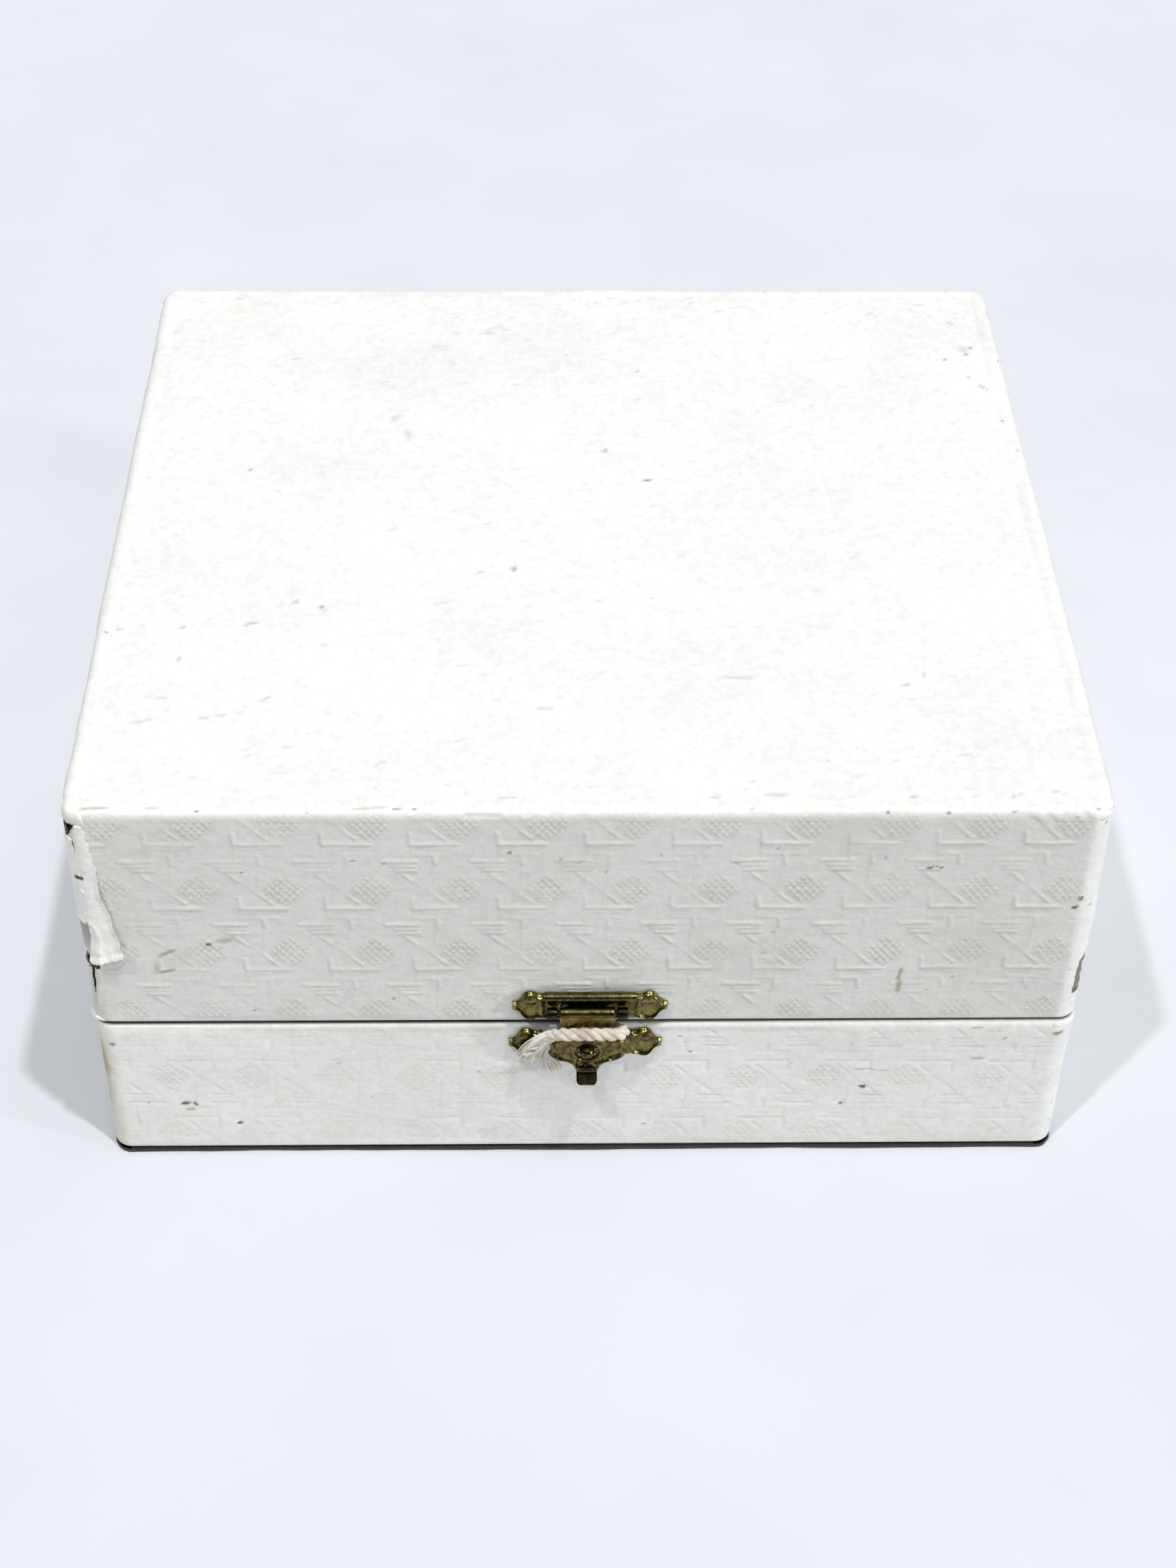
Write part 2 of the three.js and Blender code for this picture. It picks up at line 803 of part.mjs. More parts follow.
function hasp() {
  const circle = (radius) =>
    new THREE.Shape().absarc(claspPinOut, claspPinUp, radius, 0, 2 * Math.PI);
  const barrel = extrudeAcross(circle(claspBarrelRadius), 2 * haspBarrelHalf);
  const bore = extrudeAcross(circle(claspPinRadius + bendClearance), 3 * haspBarrelHalf);
  return cut(join(barrel, haspFlat(), haspTab()), bore);
}

function twine() {
  const sides = 8;
  const points = twineRoute.map(([x, out, up]) => new THREE.Vector3(x, up, out));
  const section = new THREE.Shape(
    Array.from({ length: sides }, (_, i) => {
      const angle = (i / sides) * 2 * Math.PI;
      return new THREE.Vector2(Math.cos(angle), Math.sin(angle)).multiplyScalar(
        twineDiameter / 2,
      );
    }),
  );
  return new THREE.ExtrudeGeometry(section, {
    steps: 44,
    bevelEnabled: false,
    extrudePath: new THREE.CatmullRomCurve3(points),
  });
}

function addClasp() {
  const pinLength = 2 * (haspBarrelHalf + gap + claspKnuckleLength);
  add("clasp_lid_plate", lidPlate(), brass, frontWall);
  add(
    "clasp_hinge_pin",
    pinAlongX(claspPinRadius, pinLength, claspPinOut, claspPinUp),
    brass,
    frontWall,
  );
  add("clasp_base_plate", basePlate(), brass, frontWall);
  add("clasp_stud", stud(), brass, frontWall);
  add("clasp_hasp", hasp(), brass, frontWall);
  add("clasp_twine", twine(), cotton, frontWall);
}

// ---------- Rear hinges ----------

/** One leaf of a hinge. side is 1 on the lid and -1 on the base. */
function hingeLeaf(side, knuckleSpans) {
  const outline = roundedRectangle(hingeLength, leafHeight, 2);
  const plate = stampedPlate(outline, 0, side * leafCentre, leafProngs);
  const knuckles = knuckleSpans.map(([from, to]) => {
    const tube = knuckle(to - from, hingeKnuckleRadius, hingePinRadius, hingeOut, 0);
    return tube.translate((from + to) / 2, 0, 0);
  });
  const strapTop = leafCentre - leafHeight / 2 + 1;
  const straps = knuckleSpans.map(([from, to]) => {
    const ends = [side * strapTop, 0];
    return boxBetween(
      [from, Math.min(...ends), gap],
      [to, Math.max(...ends), gap + sheetBrass],
    );
  });
  const bore = pinAlongX(hingePinRadius + bendClearance, 2 * hingeLength, hingeOut, 0);
  return cut(join(plate, ...straps, ...knuckles), bore);
}

function addHinges() {
  const middle = hingeMiddleKnuckle / 2;
  const end = hingeLength / 2;
  const baseSpans = [
    [-end, -middle - gap],
    [middle + gap, end],
  ];
  // The back wall's frame is turned half round, so its +X is the left of the case.
  for (const [side, x] of [
    ["left", hingeCentres[1]],
    ["right", hingeCentres[0]],
  ]) {
    const place = new THREE.Group();
    place.position.x = x;
    backWall.add(place);
    add(`hinge_${side}_base_leaf`, hingeLeaf(-1, baseSpans), brass, place);
    add(`hinge_${side}_lid_leaf`, hingeLeaf(1, [[-middle, middle]]), brass, place);
    add(
      `hinge_${side}_pin`,
      pinAlongX(hingePinRadius, hingeLength, hingeOut, 0),
      brass,
      place,
    );
  }
}

// ---------- Assembly ----------

addFlatBoards();
addBase();
addLid();
addMirror();
addTray();
addClasp();
addHinges();

export default travelCase;
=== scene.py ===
"""A travel jewelry case in worn white leatherette: its looks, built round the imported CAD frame.

Lengths in this script are millimetres until a mesh is made, and metres in Blender. Places on a
wall are (x, up, out): along X, up from the seam, and out from the wall.
"""

import json
import math
import random

import bmesh
import bpy
import numpy as np
from mathutils import Matrix, Vector


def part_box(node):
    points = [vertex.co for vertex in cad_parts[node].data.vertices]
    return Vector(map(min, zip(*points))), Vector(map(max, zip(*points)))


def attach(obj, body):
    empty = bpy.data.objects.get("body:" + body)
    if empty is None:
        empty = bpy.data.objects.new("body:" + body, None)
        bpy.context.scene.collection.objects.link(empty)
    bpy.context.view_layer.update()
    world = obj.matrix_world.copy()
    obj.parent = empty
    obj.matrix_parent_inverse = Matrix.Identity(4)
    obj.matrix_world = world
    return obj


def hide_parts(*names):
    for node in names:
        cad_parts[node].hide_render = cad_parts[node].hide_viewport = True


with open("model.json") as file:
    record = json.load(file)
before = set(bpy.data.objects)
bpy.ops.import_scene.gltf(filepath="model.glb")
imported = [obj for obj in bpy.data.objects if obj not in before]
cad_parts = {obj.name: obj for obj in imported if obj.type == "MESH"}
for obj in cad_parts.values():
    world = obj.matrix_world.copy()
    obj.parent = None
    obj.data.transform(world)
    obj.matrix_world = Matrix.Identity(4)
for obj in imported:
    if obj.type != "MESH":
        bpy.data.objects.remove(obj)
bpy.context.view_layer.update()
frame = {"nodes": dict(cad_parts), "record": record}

MM = 0.001


def node_box(name):
    """A node's lowest and highest corners, in millimetres."""
    low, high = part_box(name)
    return np.array(low) / MM, np.array(high) / MM


base_low, base_high = node_box("base_wrap")
lid_low, lid_high = node_box("lid_wrap")
HALF_X, HALF_Y, TOP = lid_high
BASE_FOOT, BASE_RIM, LID_RIM = base_low[2], base_high[2], lid_low[2]
SEAM = (BASE_RIM + LID_RIM) / 2

CORNER_RADIUS = 3.0
TOP_EDGE_RADIUS = 1.3
BOTTOM_EDGE_RADIUS = 0.8
RIM_RADIUS = 0.8
TURN_IN = 4.1  # how far in from the outside the turned-in skin faces
TURN_IN_DEPTH = 8.0

# ---------- Camera ----------

# The camera stands at these shares of the case's width from the foot of its front.
CAMERA_PLACE = (-0.057, -1.779, 2.0956)
CAMERA_YAW, CAMERA_PITCH, CAMERA_ROLL = 1.73, 41.5, 1.02  # degrees
CAMERA_LENS = 58.44  # mm, on a sensor 36 mm along its long side


def make_camera():
    yaw, pitch, roll = (math.radians(a) for a in (CAMERA_YAW, CAMERA_PITCH, CAMERA_ROLL))
    forward = Vector(
        (math.sin(yaw) * math.cos(pitch), math.cos(yaw) * math.cos(pitch), -math.sin(pitch))
    )
    level = Vector((math.cos(yaw), -math.sin(yaw), 0))
    over = level.cross(forward)
    right = math.cos(roll) * level + math.sin(roll) * over
    up = math.cos(roll) * over - math.sin(roll) * level
    camera = bpy.data.objects.new("camera", bpy.data.cameras.new("camera"))
    bpy.context.scene.collection.objects.link(camera)
    camera.data.lens = CAMERA_LENS
    turn = Matrix((right, up, -forward)).transposed().to_4x4()
    width = 2 * HALF_X * MM
    place = Vector(CAMERA_PLACE) * width + Vector((0, -HALF_Y * MM, 0))
    camera.matrix_world = Matrix.Translation(place) @ turn
    bpy.context.scene.camera = camera


make_camera()

# ---------- Noise and meshes ----------


def smooth(low, high, x):
    """0 at low and 1 at high, with a smooth step between."""
    t = np.clip((np.asarray(x, float) - low) / (high - low), 0, 1)
    return t * t * (3 - 2 * t)


def noise(x, y, size, seed):
    """Smooth noise from -1 to 1 on a lattice of the given size."""
    lattice = np.random.default_rng(seed).uniform(-1, 1, (64, 64))
    x, y = np.asarray(x, float) / size, np.asarray(y, float) / size
    column, row = np.floor(x).astype(int), np.floor(y).astype(int)
    fx, fy = smooth(0, 1, x - column), smooth(0, 1, y - row)

    def at(i, j):
        return lattice[(row + j) % 64, (column + i) % 64]

    near = at(0, 0) * (1 - fx) + at(1, 0) * fx
    far = at(0, 1) * (1 - fx) + at(1, 1) * fx
    return near * (1 - fy) + far * fy


def rough(x, y, size, seed, octaves=3):
    """Noise with finer noise on it."""
    return sum(noise(x, y, size / 2**i, seed + i) / 2**i for i in range(octaves))


def hump(x, middle, width):
    """A smooth rise to 1 at the middle, that has died away two widths from it."""
    return np.exp(-(((x - middle) / width) ** 2))


def closed(name, vertices, faces, material, body, slot, replaces=(), sharp=40):
    """A closed mesh object from vertices in millimetres. Edges bent over sharp degrees stay sharp."""
    mesh = bpy.data.meshes.new(name)
    mesh.from_pydata((np.asarray(vertices) * MM).tolist(), [], [list(f) for f in faces])
    work = bmesh.new()
    work.from_mesh(mesh)
    bmesh.ops.remove_doubles(work, verts=work.verts, dist=2e-7)
    bmesh.ops.recalc_face_normals(work, faces=work.faces)
    work.to_mesh(mesh)
    work.free()
    mesh.shade_smooth()
    mesh.set_sharp_from_angle(angle=math.radians(sharp))
    return piece(name, mesh, material, body, replaces)


def piece(name, mesh, material, body, replaces=()):
    """An object with a mesh and a material, and what it rides on and stands for."""
    obj = bpy.data.objects.new(name, mesh)
    bpy.context.scene.collection.objects.link(obj)
    mesh.materials.append(material)
    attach(obj, body)
    if replaces:
        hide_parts(*replaces)
    return obj


def grid_faces(rows, columns, ring=False):
    """Quads of a grid of vertices, numbered row by row. ring joins the last column to the first."""
    across = columns if ring else columns - 1
    i, j = np.meshgrid(np.arange(rows - 1), np.arange(across), indexing="ij")
    k = (j + 1) % columns
    corners = (i * columns + j, i * columns + k, (i + 1) * columns + k, (i + 1) * columns + j)
    return np.stack(corners, -1).reshape(-1, 4)


def fast_mesh(name, vertices, quads, tint, normals=None):
    """A mesh of quads from arrays. tint is a colour for each vertex."""
    mesh = bpy.data.meshes.new(name)
    mesh.vertices.add(len(vertices))
    mesh.vertices.foreach_set("co", (vertices * MM).astype(np.float32).ravel())
    mesh.loops.add(4 * len(quads))
    mesh.loops.foreach_set("vertex_index", quads.astype(np.int32).ravel())
    mesh.polygons.add(len(quads))
    mesh.polygons.foreach_set("loop_start", np.arange(0, 4 * len(quads), 4, dtype=np.int32))
    mesh.update(calc_edges=True)
    mesh.shade_smooth()
    layer = mesh.color_attributes.new("tint", "FLOAT_COLOR", "POINT")
    colours = np.concatenate([tint, np.ones((len(tint), 1))], 1)
    layer.data.foreach_set("color", colours.astype(np.float32).ravel())
    if normals is not None:
        mesh.normals_split_custom_set_from_vertices(normals.astype(np.float32))
    return mesh


def directions(path):
    """The direction of a path at each of its points."""
    along = np.gradient(path, axis=0)
    return along / np.linalg.norm(along, axis=1)[:, None]


def frames_along(path):
    """Two directions square to a path at each of its points, without a twist along it."""
    along = directions(path)
    side = np.cross(along[0], (0.3, 0.2, 0.93))
    sides = []
    for tangent in along:
        side = side - tangent * (side @ tangent)
        side /= np.linalg.norm(side)
        sides.append(side)
    return np.array(sides), np.cross(along, sides)


def tube(path, radius, sides):
    """Vertices and faces of a closed tube along a path. radius is a number or one per point."""
    path = np.asarray(path, float)
    count = len(path)
    side, over = frames_along(path)
    angles = (np.arange(sides) * 2 * math.pi / sides)[:, None]
    rings = np.cos(angles) * side[:, None] + np.sin(angles) * over[:, None]
    rings = path[:, None] + np.broadcast_to(radius, count)[:, None, None] * rings
    vertices = np.concatenate([rings.reshape(-1, 3), path[:1], path[-1:]])
    faces = grid_faces(count, sides, ring=True)[:, ::-1].tolist()
    last = (count - 1) * sides
    for i in range(sides):
        k = (i + 1) % sides
        faces.append([count * sides, i, k])
        faces.append([count * sides + 1, last + k, last + i])
    return vertices, faces


def merged(parts):
    """Several (vertices, faces) as one."""
    vertices, faces, first = [], [], 0
    for v, f in parts:
        vertices.append(np.asarray(v))
        faces += [[first + i for i in face] for face in f]
        first += len(v)
    return np.concatenate(vertices), faces


def shell(outer, inner):
    """Vertices and quads of a sheet between two grids of points of the same shape."""
    rows, columns = outer.shape[:2]
    count = rows * columns
    number = np.arange(count).reshape(rows, columns)
    sides = (number[0], number[1:, -1], number[-1, -2::-1], number[-2:0:-1, 0])
    around = np.concatenate(sides)
    following = np.roll(around, -1)
    walls = np.stack([following, around, around + count, following + count], 1)
    faces = grid_faces(rows, columns)
    quads = np.concatenate([faces, faces[:, ::-1] + count, walls])
    return np.concatenate([outer.reshape(-1, 3), inner.reshape(-1, 3)]), quads


def loft(loops, capped=True):
    """Vertices and faces through loops of the same length, with a face across each end."""
    loops = np.asarray(loops)
    count = loops.shape[1]
    faces = grid_faces(len(loops), count, ring=True).tolist()
    if capped:
        faces.append(list(range(count))[::-1])
        faces.append([(len(loops) - 1) * count + i for i in range(count)])
    return loops.reshape(-1, 3), faces


def soft_box(low, high, radius, step, swell=None):
    """A box with rounded edges and divided faces. swell says how far each place moves outwards."""
    low, high = np.array(low, float), np.array(high, float)
    radius = min(radius, (high - low).min() / 2.001)
    bend = radius * (1 - np.tan(np.radians([45, 30, 15, 0])))
    parts = []
    for axis in range(3):
        a, b = (axis + 1) % 3, (axis + 2) % 3
        runs = []
        for k in (a, b):
            middle = spaced(low[k] + radius, high[k] - radius, step)
            runs.append(joined(low[k] + bend, middle, (high[k] - bend)[::-1]))
        A, B = np.meshgrid(*runs, indexing="ij")
        for end in (low, high):
            place = np.zeros((*A.shape, 3))
            place[..., axis], place[..., a], place[..., b] = end[axis], A, B
            core = np.clip(place, low + radius, high - radius)
            normal = place - core
            normal /= np.linalg.norm(normal, axis=-1)[..., None]
            out = radius + (0 if swell is None else swell(place, normal))
            points = core + normal * np.asarray(out)[..., None]
            parts.append((points.reshape(-1, 3), grid_faces(*A.shape).tolist()))
    return merged(parts)


def rounded_loop(half_x, half_y, radius, per_corner=14, per_side=44):
    """Points round a rectangle with rounded corners, and the outward direction at each."""
    points, ways = [], []
    for sx, sy, start in ((1, 1, 0), (-1, 1, 90), (-1, -1, 180), (1, -1, 270)):
        centre = np.array((sx * (half_x - radius), sy * (half_y - radius)))
        for angle in np.radians(np.linspace(start, start + 90, per_corner)):
            way = np.array((math.cos(angle), math.sin(angle)))
            points.append(centre + radius * way)
            ways.append(way)
        # Along the side that follows, towards the next corner.
        side_length = 2 * ((half_x if start in (0, 180) else half_y) - radius)
        forward = np.array((-way[1], way[0]))
        for share in np.linspace(0, 1, per_side)[1:-1]:
            points.append(centre + radius * way + forward * side_length * share)
            ways.append(way)
    return np.array(points), np.array(ways)


def spaced(start, end, step):
    """Even numbers from start to end, about a step apart."""
    return np.linspace(start, end, max(2, round((end - start) / step) + 1))


def joined(*runs):
    """Runs of numbers, each starting where the last one ended, without repeats."""
    return np.concatenate([runs[0], *[run[1:] for run in runs[1:]]])


def graded(places, steps):
    """Numbers that run through the places, with a step of its own for each stretch."""
    return joined(*[spaced(*run) for run in zip(places, places[1:], steps)])


def smooth_path(points, count):
    """A Catmull-Rom curve through points, at even lengths."""
    points = np.asarray(points, float)
    first, last = 2 * points[:1] - points[1:2], 2 * points[-1:] - points[-2:-1]
    padded = np.concatenate([first, points, last])
    fine = []
    for a, b, c, d in zip(padded, padded[1:], padded[2:], padded[3:]):
        for t in np.arange(0, 1, 0.1):
            cubic = (3 * b - a - 3 * c + d) * t**3
            square = (2 * a - 5 * b + 4 * c - d) * t**2
            fine.append(0.5 * (2 * b + (c - a) * t + square + cubic))
    fine = np.array([*fine, points[-1]])
    steps = np.concatenate([[0], np.cumsum(np.linalg.norm(np.diff(fine, axis=0), axis=1))])
    even = np.linspace(0, steps[-1], count)
    return np.stack([np.interp(even, steps, fine[:, k]) for k in range(fine.shape[1])], 1)


def on_wall(points, side=-1):
    """Places (x, up from the seam, out from a wall) in the case's axes. side is -1 in front."""
    p = np.asarray(points, float)
    return np.stack([-side * p[..., 0], side * (HALF_Y + p[..., 2]), SEAM + p[..., 1]], -1)


def grid_on_wall(x, up, out, side=-1):
    """The same for grids of x, up and out, or one number for all."""
    return on_wall(np.stack(np.broadcast_arrays(x, up, out), -1), side)


# ---------- Materials ----------


class Nodes:
    """A short way to write a node material."""

    def __init__(self, name):
        self.material = bpy.data.materials.new(name)
        self.material.use_nodes = True
        self.tree = self.material.node_tree
        self.shader = self.tree.nodes["Principled BSDF"]

    def add(self, kind, inputs=None, **settings):
        node = self.tree.nodes.new("ShaderNode" + kind)
        for key, value in settings.items():
            setattr(node, key, value)
        for key, value in (inputs or {}).items():
            self.feed(node.inputs[key], value)
        return node

    def feed(self, socket, value):
        if isinstance(value, bpy.types.NodeSocket):
            self.tree.links.new(value, socket)
        else:
            socket.default_value = value

    def set(self, **values):
        """Sets the shader's sockets, with _ for a space."""
        for key, value in values.items():
            self.feed(self.shader.inputs[key.replace("_", " ")], value)

    def place(self, stretch=(1, 1, 1)):
        """Object coordinates in millimetres, stretched."""
        coordinates = self.add("TexCoord").outputs["Object"]
        scale = Vector(stretch) / MM
        mapping = self.add("Mapping", {"Vector": coordinates, "Scale": scale})
        return mapping.outputs["Vector"]

    def noise(self, size, detail=4, roughness=0.55, stretch=(1, 1, 1)):
        """Noise of the given size in millimetres, from 0 to 1."""
        inputs = {
            "Vector": self.place(stretch),
            "Scale": 1 / size,
            "Detail": detail,
            "Roughness": roughness,
        }
        return self.add("TexNoise", inputs).outputs["Fac"]

    def ramp(self, value, *stops):
        """A colour ramp of (place, colour) stops. A colour may be one number for a grey."""
        node = self.add("ValToRGB", {"Fac": value})
        elements = node.color_ramp.elements
        while len(elements) < len(stops):
            elements.new(1)
        for element, (place, colour) in zip(elements, stops):
            element.position = place
            rgb = (colour,) * 3 if isinstance(colour, (int, float)) else colour
            element.color = (*rgb, 1)
        return node.outputs["Color"]

    def mix(self, factor, a, b, blend="MIX"):
        node = self.add("Mix", data_type="RGBA", blend_type=blend)
        self.feed(node.inputs["Factor"], factor)
        for socket, value in ((node.inputs[6], a), (node.inputs[7], b)):
            self.feed(socket, (*value, 1) if isinstance(value, tuple) else value)
        return node.outputs[2]

    def times(self, *colours):
        """Colours multiplied together."""
        product = colours[0]
        for colour in colours[1:]:
            product = self.mix(1.0, product, colour, "MULTIPLY")
        return product

    def tint(self):
        """The tint of each vertex."""
        return self.add("VertexColor", layer_name="tint").outputs["Color"]

    def hollows(self, *stops):
        """A ramp from the hollows of the mesh to its ridges."""
        return self.ramp(self.add("NewGeometry").outputs["Pointiness"], *stops)

    def bump(self, *layers):
        """Bumps of (height, depth in millimetres), one on the other."""
        normal = None
        for height, depth in layers:
            inputs = {"Height": height, "Distance": depth * MM, "Strength": 1.0}
            if normal is not None:
                inputs["Normal"] = normal
            normal = self.add("Bump", inputs).outputs["Normal"]
        self.set(Normal=normal)
        return self


def leatherette():
    """Coated white paper, greyer in its grain, with the tint of each vertex for stains, wear, and painted
    light and shade.
    """
    n = Nodes("leatherette")
    tint = n.tint()
    cloudy = n.ramp(n.noise(22, 5), (0.3, (0.815, 0.81, 0.78)), (0.7, (0.875, 0.872, 0.85)))
    mottled = n.ramp(n.noise(1.1, 4), (0.3, 0.93), (0.62, 1.0))
    streaks = n.noise(0.9, 5, 0.7, (0.4, 0.4, 1.5))
    streaked = n.ramp(streaks, (0.33, 0.93), (0.5, 1.0))
    grained = n.ramp(n.noise(0.26, 2), (0.36, 0.955), (0.6, 1.0))
    n.set(
        Base_Color=n.times(cloudy, mottled, streaked, grained, tint),
        Roughness=n.ramp(n.noise(6, 4), (0.3, 0.42), (0.7, 0.56)),
        Specular_IOR_Level=0.42,
    )
    grain = n.noise(0.42, 3, 0.6)
    return n.bump((grain, 0.035), (n.noise(2.4, 2), 0.05), (streaks, 0.045)).material


def smooth_leatherette():
    """The same paper where no pattern was pressed, with fine cross ribs, and whiter: partly its own
    colour and partly painted light.
    """
    n = Nodes("leatherette_plain")
    tint = n.tint()
    ribs = n.noise(0.5, 3, 0.6, (0.25, 0.25, 1.6))
    white = n.ramp(ribs, (0.3, (0.86, 0.845, 0.79)), (0.7, (0.93, 0.92, 0.88)))
    n.set(Base_Color=n.times(white, tint), Roughness=0.5, Specular_IOR_Level=0.42)
    return n.bump((ribs, 0.06), (n.noise(0.35, 3), 0.03)).material


BOARD_SHADES = ((0.25, (0.16, 0.145, 0.115)), (0.5, (0.33, 0.31, 0.26)), (0.8, (0.46, 0.44, 0.39)))


def grey_board(name, tinted=False):
    """Pressed grey board, with long fibres and brown flecks. tinted takes each vertex's tint."""
    n = Nodes(name)
    fibres = n.noise(0.7, 6, 0.7, (0.5, 0.5, 1.6))
    flecks = n.noise(0.28, 2, 0.5)
    grey = n.ramp(fibres, *BOARD_SHADES)
    colour = n.mix(n.ramp(flecks, (0.62, 0.0), (0.7, 1.0)), grey, (0.24, 0.20, 0.14))
    if tinted:
        colour = n.times(colour, n.tint())
    n.set(Base_Color=colour, Roughness=0.95, Specular_IOR_Level=0.15)
    return n.bump((fibres, 0.25), (flecks, 0.06)).material


def brass(name, light, dark, pebbles=0.0):
    """Stamped brass, gone olive, with brown tarnish, and dirt where it is hollow."""
    n = Nodes(name)
    tarnish = n.ramp(n.noise(1.6, 5, 0.65), (0.36, 0.0), (0.62, 1.0))
    spots = n.ramp(n.noise(0.32, 4, 0.6), (0.5, 0.0), (0.7, 0.8))
    aged = n.mix(spots, n.mix(tarnish, light, dark), tuple(0.4 * c for c in dark))
    hollow = n.hollows((0.46, 1.0), (0.505, 0.0))
    n.set(
        Base_Color=n.mix(hollow, aged, tuple(0.2 * c for c in dark)),
        Metallic=1.0,
        Roughness=n.ramp(n.noise(0.9, 4), (0.3, 0.14), (0.7, 0.34)),
    )
    layers = [(n.noise(2.2, 3), 0.09), (n.noise(0.22, 2), 0.008)]
    if pebbles:
        inputs = {"Vector": n.place(), "Scale": 1.5, "Smoothness": 0.7}
        cells = n.add("TexVoronoi", inputs, feature="SMOOTH_F1")
        layers.append((cells.outputs["Distance"], -pebbles))
    return n.bump(*layers).material


def felt():
    n = Nodes("dark_felt")
    fibres = n.noise(0.35, 4, 0.7)
    colour = n.ramp(fibres, (0.3, (0.008, 0.008, 0.007)), (0.7, (0.045, 0.04, 0.036)))
    n.set(Base_Color=colour, Roughness=1.0, Sheen_Weight=0.3, Sheen_Roughness=0.5)
    return n.bump((fibres, 0.12)).material


def satin():
    """Pale blue-grey satin: fine threads one way, and a soft sheen."""
    n = Nodes("satin")
    warp = n.noise(0.22, 2, 0.5, (1.2, 1.2, 0.08))
    shade = n.noise(14, 3)
    colour = n.mix(
        0.35,
        n.ramp(shade, (0.3, (0.44, 0.51, 0.58)), (0.7, (0.60, 0.66, 0.72))),
        n.ramp(warp, (0.3, (0.40, 0.46, 0.53)), (0.7, (0.70, 0.75, 0.80))),
    )
    n.set(Base_Color=colour, Roughness=0.38, Sheen_Weight=0.5, Sheen_Roughness=0.3)
    return n.bump((warp, 0.03), (n.noise(3.0, 3), 0.12)).material


def velvet():
    """Grey-blue velvet: a deep pile with rubbed lighter patches."""
    n = Nodes("velvet")
    pile = n.noise(0.3, 4, 0.7)
    rubbed = n.noise(7, 4, 0.6)
    colour = n.mix(
        0.5,
        n.ramp(rubbed, (0.35, (0.13, 0.17, 0.22)), (0.65, (0.24, 0.29, 0.35))),
        n.ramp(pile, (0.3, (0.10, 0.13, 0.18)), (0.7, (0.28, 0.33, 0.40))),
    )
    n.set(Base_Color=colour, Roughness=0.9, Specular_IOR_Level=0.2)
    n.set(Sheen_Weight=1.0, Sheen_Roughness=0.35)
    return n.bump((pile, 0.12), (rubbed, 0.15)).material


def cotton(name, shaded, pale):
    """Undyed cotton: fine fibres, browner where it was handled, with painted shade in the grooves between
    plies.
    """
    n = Nodes(name)
    fibres = n.noise(0.16, 4, 0.6)
    handled = n.noise(2.2, 3)
    colour = n.mix(
        0.5,
        n.ramp(fibres, (0.3, shaded), (0.66, pale)),
        n.ramp(handled, (0.32, shaded), (0.6, pale)),
    )
    # Painted shade: the hollows between the plies are darkened towards the shaded colour.
    groove_shade = n.hollows((0.42, 0.75), (0.5, 0.0))
    n.set(
        Base_Color=n.mix(groove_shade, colour, tuple(0.55 * c for c in shaded)),
        Roughness=0.9,
        Sheen_Weight=0.2,
        Sheen_Roughness=0.5,
        Specular_IOR_Level=0.2,
        Subsurface_Weight=0.15,
        Subsurface_Scale=0.0006,
    )
    return n.bump((fibres, 0.08)).material


def gilt_paper():
    n = Nodes("gilt_paper")
    wear = n.ramp(n.noise(1.8, 5, 0.7), (0.58, 0.0), (0.7, 1.0))
    n.set(
        Base_Color=n.mix(wear, (0.72, 0.52, 0.20), (0.50, 0.42, 0.30)),
        Metallic=0.75,
        Roughness=n.ramp(n.noise(2.5, 3), (0.3, 0.28), (0.7, 0.5)),
    )
    return n.bump((n.noise(0.5, 3), 0.04)).material


def silvered_glass():
    n = Nodes("silvered_glass")
    edge = n.ramp(n.noise(9, 5, 0.7), (0.66, 0.0), (0.8, 1.0))
    n.set(
        Base_Color=n.mix(edge, (0.90, 0.92, 0.93), (0.62, 0.63, 0.60)),
        Metallic=1.0,
        Roughness=n.ramp(n.noise(5, 4), (0.4, 0.02), (0.8, 0.07)),
    )
    return n.bump((n.noise(30, 1), 0.02)).material


LEATHERETTE = leatherette()
LEATHERETTE_PLAIN = smooth_leatherette()
GREY_BOARD = grey_board("grey_board")
TORN_BOARD = grey_board("torn_board", tinted=True)
BRASS = brass("brass", (0.27, 0.232, 0.066), (0.11, 0.088, 0.03))
PEBBLED_BRASS = brass("pebbled_brass", (0.25, 0.21, 0.068), (0.105, 0.072, 0.028), 0.16)
# The two darker copies of the brass below are painted shade: the first is partly browner tarnish and
# partly painted shade, for the rib, barrel and stud; the second is nearly black, all painted shade, for
# the knuckles, tab, pin and rods.
TARNISH_AND_SHADE_BRASS = brass("tarnish_and_shade_brass", (0.17, 0.145, 0.05), (0.055, 0.045, 0.02))
SHADED_BRASS = brass("shaded_brass", (0.05, 0.042, 0.022), (0.015, 0.012, 0.008))
FELT = felt()
SATIN = satin()
VELVET = velvet()
COTTON = cotton("cotton", (0.38, 0.30, 0.22), (0.87, 0.81, 0.71))
# The loose fibres are painted lighter than the twine: painted light on the frayed tufts, against the
# shade between the fibres.
LIT_FIBRE_COTTON = cotton("lit_fibre_cotton", (0.86, 0.78, 0.65), (0.98, 0.94, 0.86))
GILT_PAPER = gilt_paper()
SILVERED_GLASS = silvered_glass()

# ---------- The twine ----------

